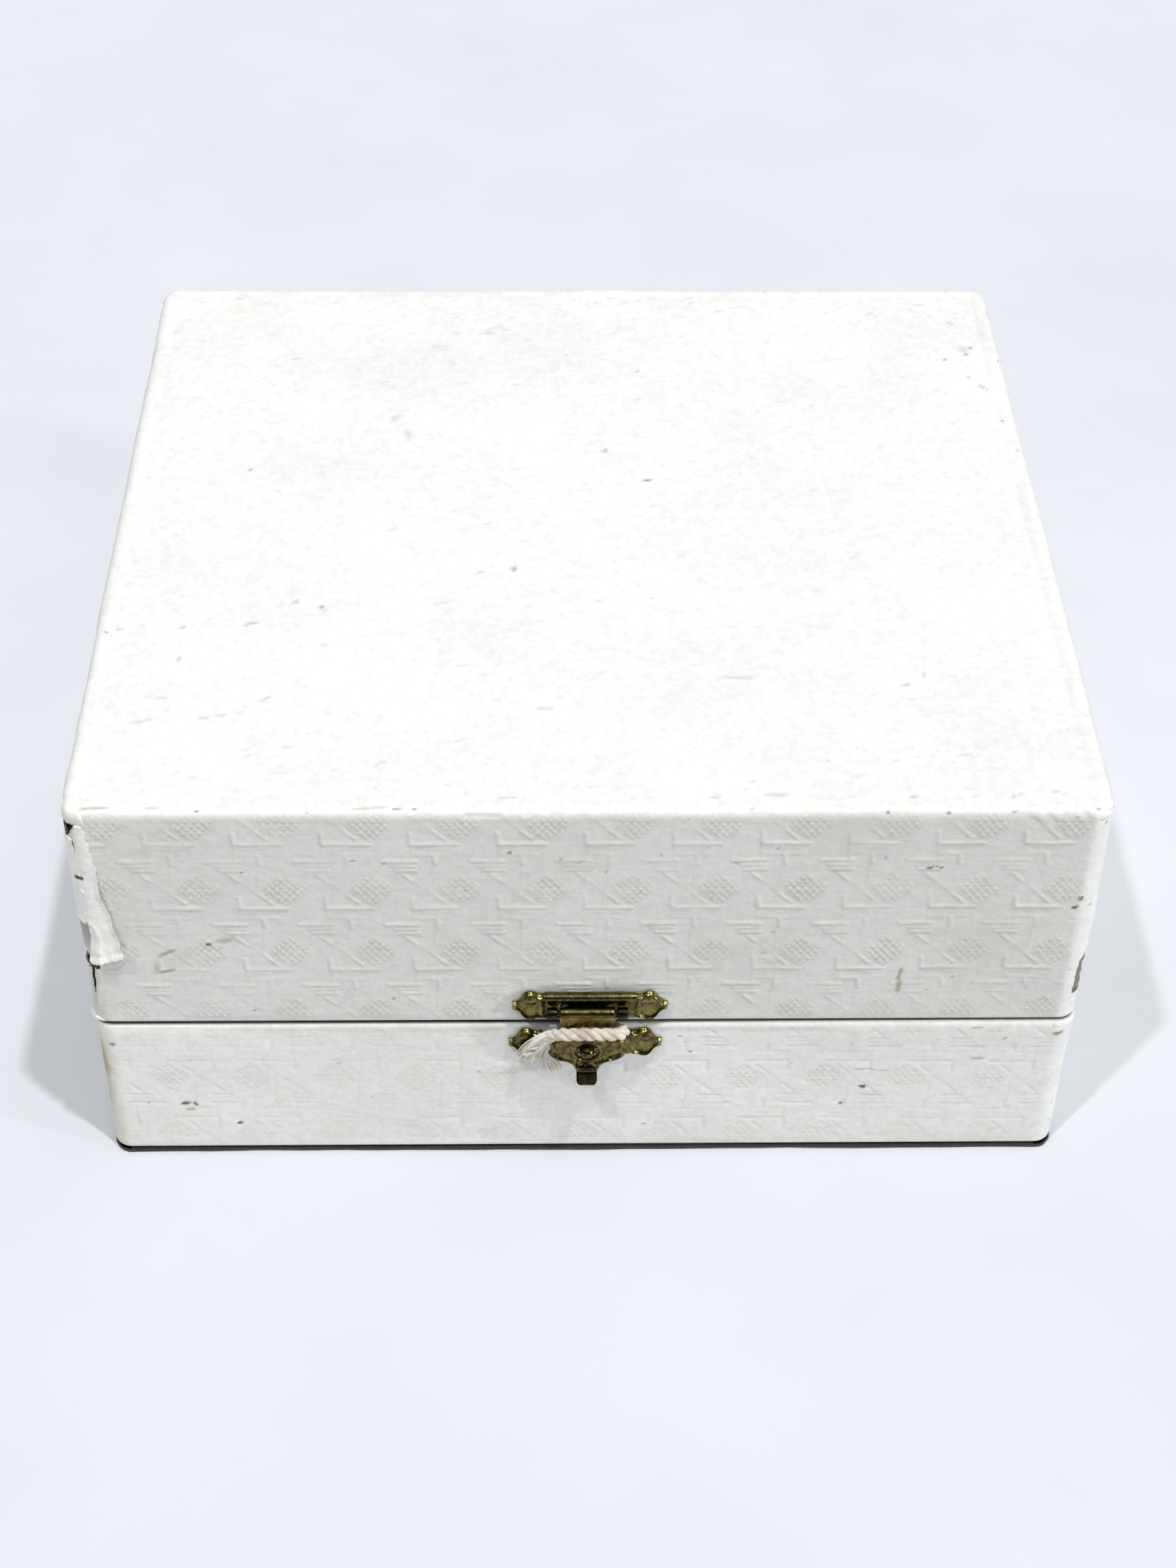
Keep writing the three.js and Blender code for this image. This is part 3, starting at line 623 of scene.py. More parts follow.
# The route of the twine's middle, as (x, up, out): round the front of the hasp's neck, then
# back behind it. Both ends are frayed.
TWINE_ROUTE = [
    (-9.9, -4.9, 2.4), (-9.1, -3.6, 2.5), (-8.2, -2.2, 2.6), (-7.2, -0.9, 2.8),
    (-6.2, 0.2, 3.1), (-5.0, 1.1, 3.7), (-3.6, 1.8, 4.35), (-1.9, 2.15, 4.7), (0.0, 2.25, 4.75),
    (1.9, 2.2, 4.75), (3.6, 2.0, 4.65), (5.0, 1.65, 4.2), (5.8, 1.2, 3.3), (5.6, 0.6, 2.2),
    (4.6, 0.1, 1.6), (3.1, -0.15, 1.42), (1.4, -0.25, 1.4), (-0.4, -0.35, 1.4),
    (-2.2, -0.45, 1.4), (-4.0, -0.6, 1.4),
]
TWINE_DIAMETER = 2.2
TWINE_LENGTH = 31.0
PLIES, PLY_RADIUS, PLY_TURN = 3, 0.56, 5.4  # the last is the length of one turn
UNRAVELLED = 9.5  # the length over which the plies come apart at the first end
FIBRE_RADIUS, FIBRE_POINTS = 0.13, 9
THICK_FIBRE = 2.6  # every twelfth fibre is this much thicker
# Where the loose fibres run, as (x, up, out), from root to tip, with how far they spread.
FRAY = [(-4.6, 1.3, 3.6), (-6.2, 0.0, 3.1), (-7.6, -2.0, 2.6), (-8.8, -4.6, 1.9), (-9.6, -8.0, 1.0)]
WISPS = [(-4.4, -1.2, 1.5), (-6.0, -3.8, 1.5), (-6.5, -6.4, 1.2), (-5.9, -8.8, 0.8), (-4.9, -11.2, 0.6)]


def make_plies(route):
    """Three plies twisted round the route, which thin out at both ends."""
    sides, overs = frames_along(route)
    length = np.linspace(0, TWINE_LENGTH, len(route))
    thin = 0.36 + 0.64 * smooth(0.3 * UNRAVELLED, UNRAVELLED, length)
    thin *= 0.7 + 0.3 * smooth(0.0, 2.0, TWINE_LENGTH - length)
    parts = []
    for ply in range(PLIES):
        turn = 2 * math.pi * (length / PLY_TURN + ply / PLIES)
        lay = (TWINE_DIAMETER / 2 - PLY_RADIUS) * (1 + 0.1 * noise(length, length, 2.0, 300 + ply))
        across = np.cos(turn)[:, None] * sides + np.sin(turn)[:, None] * overs
        radius = PLY_RADIUS * thin * (1 + 0.07 * noise(length, length, 0.9, 310 + ply))
        parts.append(tube(route + lay[:, None] * across, radius, 12))
    return merged(parts)


def make_fibres(name, course, count, spread, seed):
    """Loose fibres along a course, which fan out and wave on their way to its end."""
    dice = np.random.default_rng(seed)
    middle = smooth_path(course, 13)
    along = np.gradient(middle, axis=0)
    side = np.stack([along[:, 1], -along[:, 0], np.zeros(len(along))], 1)
    side /= np.linalg.norm(side, axis=1)[:, None]
    share = np.linspace(0, 1, len(middle))
    parts = []
    for number in range(count):
        fan, wave, phase = dice.normal(0, spread), dice.normal(0, 0.16), dice.uniform(0, 6.3)
        thick = FIBRE_RADIUS * (THICK_FIBRE if number % 12 == 0 else dice.uniform(0.8, 1.5))
        lift = dice.normal(0, 0.3)
        start, stop = dice.uniform(0, 0.3), dice.uniform(0.6, 1.0)
        across = fan * (0.3 + 0.9 * share**1.2) + wave * np.sin(7 * share + phase)
        fibre = middle + side * across[:, None]
        fibre[:, 2] += lift * (0.5 + 0.5 * share) + 0.12 * np.sin(5 * share + 2 * phase)
        fibre[:, 2] = np.maximum(fibre[:, 2], 0.4)
        places = np.linspace(start, stop, FIBRE_POINTS)
        fibre = np.stack([np.interp(places, share, fibre[:, k]) for k in range(3)], 1)
        radius = thick * np.linspace(1, 0.4, FIBRE_POINTS)
        parts.append(tube(on_wall(fibre), radius, 5))
    return closed(name, *merged(parts), LIT_FIBRE_COTTON, "hasp", "cotton", sharp=80)


def make_twine():
    route = on_wall(smooth_path(TWINE_ROUTE, 190))
    plies = make_plies(route)
    twine = closed("twine", *plies, COTTON, "hasp", "cotton", ("clasp_twine",), 80)
    frays = [
        make_fibres("twine_fray", FRAY, 620, 0.82, 320),
        make_fibres("twine_wisps", WISPS, 230, 0.6, 321),
    ]


make_twine()

# ---------- The skins' surface ----------

FRONT_HALF = HALF_X - CORNER_RADIUS
SIDE_HALF = HALF_Y - CORNER_RADIUS
CORNER_LENGTH = CORNER_RADIUS * math.pi / 2
CORNER_SIGNS = ((1, -1), (1, 1), (-1, 1), (-1, -1))  # of X and Y, from the right front corner


def list_stretches():
    """The straights and corners of the way round, anticlockwise from the middle of the front.

    Each is (length, the way its outside faces at its start, how far it turns, the corner signs at
    its two ends), with the angles in degrees.
    """
    middle_of_front = (0, -1)
    stretches, before = [], middle_of_front
    straights = (FRONT_HALF, 2 * SIDE_HALF, 2 * FRONT_HALF, 2 * SIDE_HALF)
    for side, (length, corner) in enumerate(zip(straights, CORNER_SIGNS)):
        facing = 90 * side - 90
        stretches.append((length, facing, 0, before, corner))
        stretches.append((CORNER_LENGTH, facing, 90, corner, corner))
        before = corner
    return [*stretches, (FRONT_HALF, -90, 0, before, middle_of_front)]


STRETCHES = list_stretches()
ROUND = sum(stretch[0] for stretch in STRETCHES)
SIDE_START = FRONT_HALF + CORNER_LENGTH
BACK_START = SIDE_START + 2 * SIDE_HALF + CORNER_LENGTH
LEFT_START = BACK_START + 2 * FRONT_HALF + CORNER_LENGTH
LEFT_CORNER = -FRONT_HALF - CORNER_LENGTH / 2
# The middles of the corners along the way round.
CORNERS = (*(start - CORNER_LENGTH / 2 for start in (SIDE_START, BACK_START, LEFT_START)), LEFT_CORNER)


def wall_frame(u):
    """For places u along the way round: shares of the corner centres' X and Y, and the outward way."""
    u = np.mod(u, ROUND)
    share_x, share_y = np.zeros_like(u), np.zeros_like(u)
    angle = np.zeros_like(u)
    start = 0.0
    for length, facing, turn, a, b in STRETCHES:
        here = (u >= start) & (u <= start + length)
        t = (u[here] - start) / length
        share_x[here] = a[0] + (b[0] - a[0]) * t
        share_y[here] = a[1] + (b[1] - a[1]) * t
        angle[here] = np.radians(facing + turn * t)
        start += length
    return share_x, share_y, np.cos(angle), np.sin(angle)


def arc(inset, height, radius, start, end, steps=8):
    """Points of an arc on a wall's section, as (inset, height)."""
    angles = np.radians(np.linspace(start, end, steps + 1))
    return np.stack([inset + radius * np.cos(angles), height + radius * np.sin(angles)], 1)


class Section:
    """The path of a skin over one half of the case, measured so that on the wall t is the height."""

    def __init__(self, *pieces):
        points = np.concatenate([np.atleast_2d(p) for p in pieces])
        keep = np.r_[True, np.linalg.norm(np.diff(points, axis=0), axis=1) > 1e-6]
        self.points = points[keep]
        lengths = np.linalg.norm(np.diff(self.points, axis=0), axis=1)
        self.t = np.r_[0, np.cumsum(lengths)]
        on_wall = np.where(np.abs(self.points[:, 0]) < 1e-6)[0][0]
        self.t += self.points[on_wall, 1] - self.t[on_wall]
        way = np.gradient(self.points, self.t, axis=0)
        self.way = way / np.linalg.norm(way, axis=1)[:, None]

    def at(self, t):
        """Inset, height, and how far the outside faces outwards and up, at each t."""
        inset, height = (np.interp(t, self.t, self.points[:, k]) for k in (0, 1))
        inward, upward = (np.interp(t, self.t, self.way[:, k]) for k in (0, 1))
        return inset, height, upward, inward

    def place(self, u, t, out=0.0):
        """Points on the skin at u round the case and t along the section, out from its surface."""
        u, t = np.broadcast_arrays(np.asarray(u, float), np.asarray(t, float))
        share_x, share_y, nx, ny = wall_frame(u)
        inset, height, outward, upward = self.at(t)
        radius = np.maximum(CORNER_RADIUS - inset, 0.1)
        x = share_x * (HALF_X - inset - radius) + nx * radius
        y = share_y * (HALF_Y - inset - radius) + ny * radius
        # A straight stretch of the front runs between the corner centres of this inset.
        return np.stack([x + nx * outward * out, y + ny * outward * out, height + upward * out], -1)


TOP_FLAT_INSET = 3.2
LID_WALL_TOP = TOP - TOP_EDGE_RADIUS
LID_SECTION = Section(
    (TURN_IN, LID_RIM + TURN_IN_DEPTH),
    arc(TURN_IN - RIM_RADIUS, LID_RIM + RIM_RADIUS, RIM_RADIUS, 0, -90),
    arc(RIM_RADIUS, LID_RIM + RIM_RADIUS, RIM_RADIUS, 270, 180),
    arc(TOP_EDGE_RADIUS, LID_WALL_TOP, TOP_EDGE_RADIUS, 180, 90, 12),
    (TOP_FLAT_INSET, TOP),
    (30.0, TOP),
)
BASE_WALL_FOOT = BASE_FOOT + BOTTOM_EDGE_RADIUS
UNDER_TURN_IN = 11.0
BASE_SECTION = Section(
    (UNDER_TURN_IN, BASE_FOOT),
    arc(BOTTOM_EDGE_RADIUS, BASE_WALL_FOOT, BOTTOM_EDGE_RADIUS, 270, 180, 12),
    arc(RIM_RADIUS, BASE_RIM - RIM_RADIUS, RIM_RADIUS, 180, 90),
    arc(TURN_IN - RIM_RADIUS, BASE_RIM - RIM_RADIUS, RIM_RADIUS, 90, 0),
    (TURN_IN, BASE_RIM - TURN_IN_DEPTH),
)

# ---------- The embossed pattern ----------

# Where each half's pattern lies: one diamond's middle as (x, up from the seam), and its pitches.
# The base's sheet was glued on upside down and a little crooked.
LID_PATTERN = {"at": (-33.6, 30.05), "pitch": (13.45, 13.57)}
BASE_PATTERN = {"at": (-41.9, -13.1), "pitch": (13.6, 14.1), "turned": True, "tilt": 0.0075}
# In pitches from a diamond's middle, right and up: (x, up, half length, half width, height).
ACROSS = [
    (-0.265, -0.29, 0.265, 0.016, 1.0), (-0.31, -0.45, 0.19, 0.014, 0.55),
    (-0.28, -0.365, 0.16, 0.010, 0.3), (0.32, -0.55, 0.195, 0.016, 1.0),
    (0.365, -0.625, 0.135, 0.014, 0.75), (0.395, -0.69, 0.12, 0.016, 1.0),
]
UPRIGHT = [
    (-0.545, -0.205, 0.085, 0.017, 1.0), (-0.27, -0.54, 0.055, 0.019, 1.0),
    (-0.30, -0.78, 0.16, 0.010, 0.25), (-0.545, -0.42, 0.12, 0.010, 0.25),
]
SLANT = ((-0.64, 0.25), (-0.16, -0.21))
SLANT_HALF_WIDTH = 0.018
DIAMOND_HALF = (0.262, 0.238)
DOT_PITCH = (0.092, 0.057)


def wrapped(x):
    """The way from the nearest whole number."""
    return x - np.round(x)


def ridge(distance, half_width):
    """A rounded ridge whose top is 1, from the distance to its middle line."""
    return 1 - smooth(0.35 * half_width, 1.9 * half_width, distance)


def motif(x, up):
    """The pattern's height at places in pitches from a diamond's middle, from 0 to about 1."""
    height = np.zeros(np.broadcast(x, up).shape)
    for cx, cy, half, wide, tall in ACROSS:
        past = np.maximum(np.abs(wrapped(x - cx)) - half, 0)
        height = np.maximum(height, tall * ridge(np.hypot(past, wrapped(up - cy)), wide))
    for cx, cy, half, wide, tall in UPRIGHT:
        past = np.maximum(np.abs(wrapped(up - cy)) - half, 0)
        height = np.maximum(height, tall * ridge(np.hypot(past, wrapped(x - cx)), wide))
    (x0, y0), (x1, y1) = SLANT
    half = math.hypot(x1 - x0, y1 - y0) / 2
    way = ((x1 - x0) / 2 / half, (y1 - y0) / 2 / half)
    dx, dy = wrapped(x - (x0 + x1) / 2), wrapped(up - (y0 + y1) / 2)
    along = dx * way[0] + dy * way[1]
    across = np.abs(dx * way[1] - dy * way[0])
    faded = 0.3 + 0.7 * smooth(0.3, 0.6, np.abs(along) / half)
    past = np.maximum(np.abs(along) - half, 0)
    height = np.maximum(height, 0.85 * faded * ridge(np.hypot(past, across), SLANT_HALF_WIDTH))
    return np.maximum(height, 1.35 * diamond(wrapped(x), wrapped(up)))


def diamond(x, up):
    """A diamond filled with short raised dashes, laid like bricks."""
    inside = (np.abs(x) / DIAMOND_HALF[0]) ** 1.35 + (np.abs(up) / DIAMOND_HALF[1]) ** 1.35
    row = np.round(up / DOT_PITCH[1])
    column = x / DOT_PITCH[0] + 0.5 * np.mod(row, 2)
    dot_x = wrapped(column) * DOT_PITCH[0]
    dot_up = up - row * DOT_PITCH[1]
    dot = 1 - smooth(0.25, 1.0, np.hypot(dot_x / 0.036, dot_up / 0.022))
    return (0.15 + 0.85 * dot) * (1 - smooth(0.88, 1.05, inside))


def emboss(x, up, at, pitch, turned=False, tilt=0.0):
    """The height of a pattern that is laid as one of the settings above says."""
    dx = x - at[0]
    dup = up - at[1] + tilt * dx
    sign = -1 if turned else 1
    return motif(sign * dx / pitch[0], sign * dup / pitch[1])


# ---------- Stains and wear, and painted light and shade ---

BROWN, DARK, PINK = (0.50, 0.42, 0.28), (0.10, 0.09, 0.08), (0.95, 0.84, 0.83)
OLIVE, GREY, DUSTY = (0.30, 0.28, 0.10), (0.55, 0.54, 0.50), (0.90, 0.885, 0.82)
# Marks on the front, as (x, up from the seam, half length, half width, angle in degrees, colour,
# strength, softness).
FRONT_MARKS = [
    (-1.3, 34.5, 7.0, 4.0, 0, PINK, 0.35, 0.9),
    (-4.5, 36.4, 0.5, 0.3, 0, (0.62, 0.36, 0.42), 0.5, 0.5),
    (-1.6, 35.8, 0.9, 0.3, 20, (0.62, 0.40, 0.44), 0.45, 0.5),
    (0.6, 34.6, 0.4, 0.25, 0, (0.62, 0.36, 0.42), 0.5, 0.5),
    (-66.2, 14.4, 3.6, 2.2, 20, DUSTY, 0.55, 0.5),
    (-66.4, 16.5, 1.9, 0.5, 27, BROWN, 0.75, 0.6),
    (-66.7, 12.4, 2.3, 0.42, 14, BROWN, 0.8, 0.6),
    (-68.6, 13.2, 0.5, 1.2, 10, BROWN, 0.5, 0.7),
    (-57.7, 18.9, 2.3, 0.5, 12, BROWN, 0.6, 0.6),
    (-59.8, 18.3, 0.45, 0.36, 0, DARK, 1.0, 0.3),
    (-75.0, 46.7, 3.4, 0.22, 4, GREY, 0.9, 0.5),
    (-66.0, 46.8, 1.3, 0.2, 0, GREY, 0.7, 0.5),
    (-59.4, 46.2, 0.4, 0.25, 0, DARK, 0.8, 0.5),
    (-33.0, 46.6, 3.6, 0.2, 2, GREY, 0.7, 0.5),
    (-29.4, 46.5, 0.9, 0.22, 0, DARK, 0.7, 0.5),
    (-26.6, 46.4, 0.5, 0.2, 0, DARK, 0.8, 0.5),
    (-36.4, 36.3, 0.5, 0.2, 0, DARK, 0.6, 0.5),
    (-31.6, 35.6, 0.35, 0.3, 0, DARK, 0.8, 0.5),
    (-53.5, 33.9, 0.3, 0.22, 0, DARK, 0.7, 0.5),
    (52.6, 34.5, 0.9, 0.15, 16, DARK, 1.0, 0.3),
    (54.0, 34.6, 0.8, 0.15, -8, DARK, 1.0, 0.3),
    (50.0, 10.8, 1.3, 0.3, 82, BROWN, 0.9, 0.4),
    (50.1, 8.0, 1.7, 0.6, 86, BROWN, 0.7, 0.5),
    (50.1, 9.2, 4.2, 1.1, 88, DUSTY, 0.6, 0.7),
    (62.0, 21.0, 12.0, 9.0, 0, (0.96, 0.955, 0.91), 0.7, 0.9),
    (45.0, 45.7, 0.4, 0.3, 0, DARK, 0.6, 0.5),
    (54.3, 45.6, 0.5, 0.3, 0, DARK, 0.8, 0.5),
    (64.3, 45.8, 0.6, 0.3, 0, GREY, 0.8, 0.5),
    (76.8, 27.8, 0.5, 0.6, 30, OLIVE, 0.9, 0.6),
    (77.1, 28.2, 0.25, 0.2, 0, DARK, 1.0, 0.4),
    (76.3, 25.9, 0.7, 0.4, 25, OLIVE, 0.9, 0.5),
    (76.0, 25.7, 0.45, 0.15, 0, DARK, 0.9, 0.4),
    (77.4, 46.1, 1.0, 0.22, -12, DARK, 0.7, 0.6),
    (80.0, 45.4, 1.9, 0.16, -14, GREY, 0.8, 0.6),
    (78.8, 43.5, 0.5, 0.3, 40, OLIVE, 0.8, 0.5),
    (-77.4, -4.7, 0.6, 0.4, 0, (0.22, 0.17, 0.10), 0.9, 0.6),
    (-67.0, -19.4, 0.9, 0.4, 10, DARK, 0.95, 0.4),
    (-65.3, -19.7, 0.35, 0.6, 20, DARK, 0.9, 0.4),
    (-66.2, -21.0, 1.0, 0.3, 0, GREY, 0.9, 0.5),
    (-58.1, -24.2, 0.6, 0.32, 15, DARK, 0.95, 0.4),
    (-40.8, -9.7, 0.5, 0.4, 0, GREY, 0.7, 0.6),
    (-52.1, -19.4, 0.9, 0.5, 70, DUSTY, 0.9, 0.7),
    (46.4, -15.8, 0.75, 0.42, 0, DARK, 1.0, 0.35),
    (43.0, -20.0, 0.4, 0.35, 0, DARK, 0.9, 0.5),
    (47.0, -11.6, 5.2, 0.18, -4, GREY, 0.8, 0.5),
    (64.5, -9.0, 1.4, 0.5, 0, GREY, 0.8, 0.6),
    (69.2, -26.9, 1.2, 0.6, 20, DUSTY, 0.9, 0.7),
    (77.5, -2.7, 0.9, 0.6, 20, OLIVE, 0.9, 0.6),
    (64.0, -1.3, 1.2, 0.25, 0, BROWN, 0.8, 0.5),
    (-80.6, -14.0, 15.0, 1.9, 90, (0.62, 0.58, 0.46), 0.8, 0.9),
    (-79.8, -9.0, 6.0, 1.4, 90, (0.55, 0.50, 0.33), 0.7, 0.9),
]
# Marks on the top, as (x, y, half length, half width, angle, colour, strength, softness).
TOP_MARKS = [
    (-66.0, -31.0, 0.8, 0.5, 30, GREY, 0.9, 0.6),
    (-65.8, -39.2, 0.4, 0.8, 0, GREY, 0.8, 0.6),
    (-54.9, -29.9, 1.3, 0.4, 20, GREY, 0.8, 0.6),
    (-47.9, -24.2, 0.9, 0.5, 30, GREY, 0.7, 0.6),
    (-43.3, -25.8, 0.6, 1.1, 10, (0.35, 0.34, 0.32), 0.9, 0.5),
    (-17.6, -16.0, 1.2, 0.3, 40, GREY, 0.6, 0.6),
    (-11.9, -14.9, 0.5, 0.8, 20, (0.4, 0.4, 0.38), 0.8, 0.5),
    (-24.2, -24.7, 3.4, 0.3, 22, GREY, 0.35, 0.7),
    (-58.5, 14.1, 0.35, 0.6, 0, (0.35, 0.34, 0.32), 0.9, 0.5),
    (4.2, 20.3, 0.6, 0.5, 30, (0.4, 0.4, 0.38), 0.9, 0.5),
    (11.6, 11.0, 0.9, 0.3, 0, DARK, 0.8, 0.5),
    (11.1, 46.8, 0.5, 0.4, 0, (0.4, 0.4, 0.38), 0.8, 0.5),
    (51.1, -45.8, 0.7, 0.4, 0, GREY, 0.8, 0.5),
    (54.5, -43.4, 0.5, 0.7, 20, GREY, 0.7, 0.5),
    (-33.5, 30.4, 1.6, 0.9, 50, GREY, 0.4, 0.8),
    (-31.1, 25.3, 0.8, 1.6, 10, GREY, 0.45, 0.8),
    (-6.2, -52.1, 2.8, 0.25, -8, GREY, 0.5, 0.6),
    (22.8, -44.3, 4.5, 0.25, 3, GREY, 0.4, 0.6),
    (-56.8, -53.0, 5.5, 0.25, 12, GREY, 0.5, 0.6),
    (-50.9, -49.1, 1.2, 0.3, 30, GREY, 0.7, 0.6),
    (-70.0, -54.8, 3.0, 0.3, 15, GREY, 0.45, 0.6),
    (8.0, -72.9, 2.6, 0.2, 2, GREY, 0.6, 0.6),
    (19.5, -73.2, 1.4, 0.25, -4, GREY, 0.7, 0.6),
    (27.0, -72.6, 3.2, 0.2, 3, GREY, 0.6, 0.6),
    (38.4, -73.4, 2.0, 0.25, 8, GREY, 0.55, 0.6),
    (49.0, -72.9, 1.2, 0.3, -12, GREY, 0.8, 0.6),
    (56.5, -73.6, 2.8, 0.22, 14, GREY, 0.7, 0.6),
    (64.8, -73.0, 1.6, 0.3, 30, GREY, 0.7, 0.6),
    (71.5, -72.0, 1.8, 0.25, -20, GREY, 0.6, 0.6),
    (-12.5, -73.0, 2.2, 0.2, -3, GREY, 0.5, 0.6),
    (73.5, 54.6, 1.7, 1.4, 0, OLIVE, 0.28, 0.9),
    (74.6, 54.9, 0.35, 0.5, 0, (0.35, 0.33, 0.2), 0.9, 0.5),
    (73.6, 52.9, 0.5, 0.35, 30, (0.35, 0.33, 0.2), 0.9, 0.5),
    (71.9, 63.9, 1.4, 0.35, -40, GREY, 0.6, 0.6),
    (73.2, 44.7, 0.9, 0.5, -50, GREY, 0.8, 0.6),
    (75.2, 41.3, 1.9, 0.4, -55, (0.5, 0.48, 0.34), 0.8, 0.6),
    (69.4, 50.7, 0.4, 0.35, 0, (0.35, 0.34, 0.32), 0.9, 0.5),
    (-66.0, 68.0, 4.0, 2.5, 20, DUSTY, 0.35, 0.9),
]
WALL_SPECKS = 110  # round one half of the case
TOP_SPECKS = 260
# The tones are painted light: the base's walls lighter than the lid's, for the light that comes up from
# the floor, and the top brightest, for the light from above.
LID_SHADE_TONE, BASE_LIGHT_TONE = np.array((0.925, 0.925, 0.895)), np.array((1.075, 1.075, 1.05))
TOP_LIGHT_TONE = np.array((1.04, 1.05, 1.08))
BRIGHTEST = 1.13


def stained(tint, x, up, mark):
    """Darkens the tint under one mark, whose edge wanders."""
    cx, cup, half_length, half_width, angle, colour, strength, softness = mark
    reach = 1.5 * max(half_length, half_width) + 0.5
    close = (np.abs(x - cx) < reach) & (np.abs(up - cup) < reach)
    if not close.any():
        return
    dx, dup = x[close] - cx, up[close] - cup
    turn = math.radians(angle)
    along = (dx * math.cos(turn) + dup * math.sin(turn)) / half_length
    across = (dup * math.cos(turn) - dx * math.sin(turn)) / half_width
    wander = 1 + 0.45 * rough(x[close], up[close], 0.5 * (half_length + half_width), 31)
    distance = np.hypot(along, across) / wander
    cover = strength * (1 - smooth(1 - softness, 1 + 0.2 * softness, distance))
    tint[close] *= 1 - cover[:, None] * (1 - np.array(colour))


def darkened(tint, cover, loss):
    """A tint that loses a share of its light, one for all channels or one each, where it is covered."""
    return tint * (1 - cover[..., None] * np.asarray(loss))


def from_corners(u):
    """How far places u are from the nearest corner."""
    return np.min([np.abs(wrapped((u - c) / ROUND)) * ROUND for c in CORNERS], axis=0)


def wall_tint(u, up, relief, tone, pressed, seed):
    """The colour of each vertex of a wall: its tone, which is painted light, painted shade along the seam
    and in pressed strokes, dirt, worn corners, a painted highlight on the right front corner, specks and
    marks.

    Where the skin is folded over on to the top it takes the top's tone.
    """
    # The wall's tone is painted light, lighter or darker than the paper for how the light falls on that
    # half.
    tint = np.ones((*u.shape, 3)) * tone
    folded_over = smooth(0.3, 1.8, up - (LID_WALL_TOP - SEAM))
    tint = darkened(tint, folded_over, 1 - TOP_LIGHT_TONE / tone)
    from_seam = np.sign(np.median(up)) * up
    # Painted shade: a dark line along the seam, where the gap between lid and base lies in shade.
    seam_shade = smooth(0.42, 0.05, from_seam) * smooth(-0.75, -0.35, from_seam)
    tint = darkened(tint, seam_shade, 0.88)
    dirt = smooth(0.02, 0.2, relief) * (1 - smooth(0.25, 0.6, relief))
    tint = darkened(tint, 0.05 * dirt, (0.9, 1.0, 1.25))
    # Painted shade: the middle of the strongest strokes is darkened by the share given as pressed, which
    # only the base's pressed-in strokes take.
    tint = darkened(tint, smooth(0.5, 0.9, relief), pressed)
    worn = 1 - smooth(0.4, 3.0, from_corners(u) + 1.4 * rough(u, up, 2.0, seed + 5))
    worn *= 0.35 + 0.65 * np.maximum(noise(u, up, 6.0, seed + 6), 0)
    # A painted highlight: a band down the right front corner is painted brighter, up to BRIGHTEST, for
    # the light that falls on it from the right.
    lit_corner = smooth(3.2, 1.9, np.abs(u - CORNERS[0]))
    worn = np.clip(worn, 0, 1) * (1 - lit_corner) * (1 - folded_over)
    tint = darkened(tint, worn, (0.10, 0.13, 0.24))
    tint = darkened(tint, lit_corner * (1 - folded_over), 1 - BRIGHTEST / tone)
    dice = random.Random(seed)
    for _ in range(WALL_SPECKS):
        size, shade = dice.uniform(0.14, 0.34), dice.uniform(0.2, 0.65)
        place = (dice.uniform(-ROUND / 4, 3 * ROUND / 4), dice.uniform(up.min(), up.max()))
        colour = (shade, shade, 0.9 * shade)
        shape = (size * dice.uniform(0.8, 2.4), size, dice.uniform(-30, 30))
        stained(tint, u, up, (*place, *shape, colour, 0.8, 0.5))
    for mark in FRONT_MARKS:
        stained(tint, u, up, mark)
    return np.clip(tint, 0.02, BRIGHTEST)


# ---------- Skins ----------

FINE, COARSE = 0.3, 0.5  # the spacing of vertices on the front, and round the rest
RELIEF = 0.18  # how far the pattern stands out
PAPER = 0.32  # the thickness of a torn edge
TOP_SPACING = 0.6
TURNED = 5.3  # the length of the skin round a rim, from the wall to the inside
# The split down the lid's left corner, as (up, u) points of its middle, and where it is in the
# grid before torn_course moves the vertices.
SPLIT = ((0.8, -80.6), (2.5, -80.1), (4.8, -79.4), (6.5, -79.1), (10.0, -78.6), (14.8, -78.3))
SPLIT_COLUMN = -79.0
# Where the lid's skin is torn away, as ((u from, to), (up from, to)).
TEARS = (
    ((-82.6, -77.8), (22.0, 40.0)),  # behind the peeled strip
    ((-82.9, -77.9), (13.0, 23.5)),  # to the left of the strip's lower end
    ((SPLIT_COLUMN - 0.2, SPLIT_COLUMN + 0.2), (0.9, 15.0)),
    ((-83.9, -83.0), (4.0, 39.0)),  # a worn line round the left corner
    ((80.9, 81.6), (27.4, 30.6)),  # a chip high on the right corner
)


def inside(value, low, high):
    """Where values lie between two others."""
    return (value > low) & (value < high)


def split_middle(up):
    """Where the middle of the split is at each height."""
    return np.interp(up, *zip(*SPLIT))


def torn_course(u, up):
    """How far the vertices near the front corners move sideways, so that torn edges wander."""
    near = smooth(6.0, 4.0, np.abs(np.abs(u) - 79.5))
    wander = 0.3 * rough(u, up, 3.2, 77, 2) + 0.13 * rough(up, up, 0.9, 78, 2)
    lean = (split_middle(up) - SPLIT_COLUMN) * smooth(16.5, 14.5, up)
    return near * wander + lean * smooth(2.6, 0.5, np.abs(u - SPLIT_COLUMN))


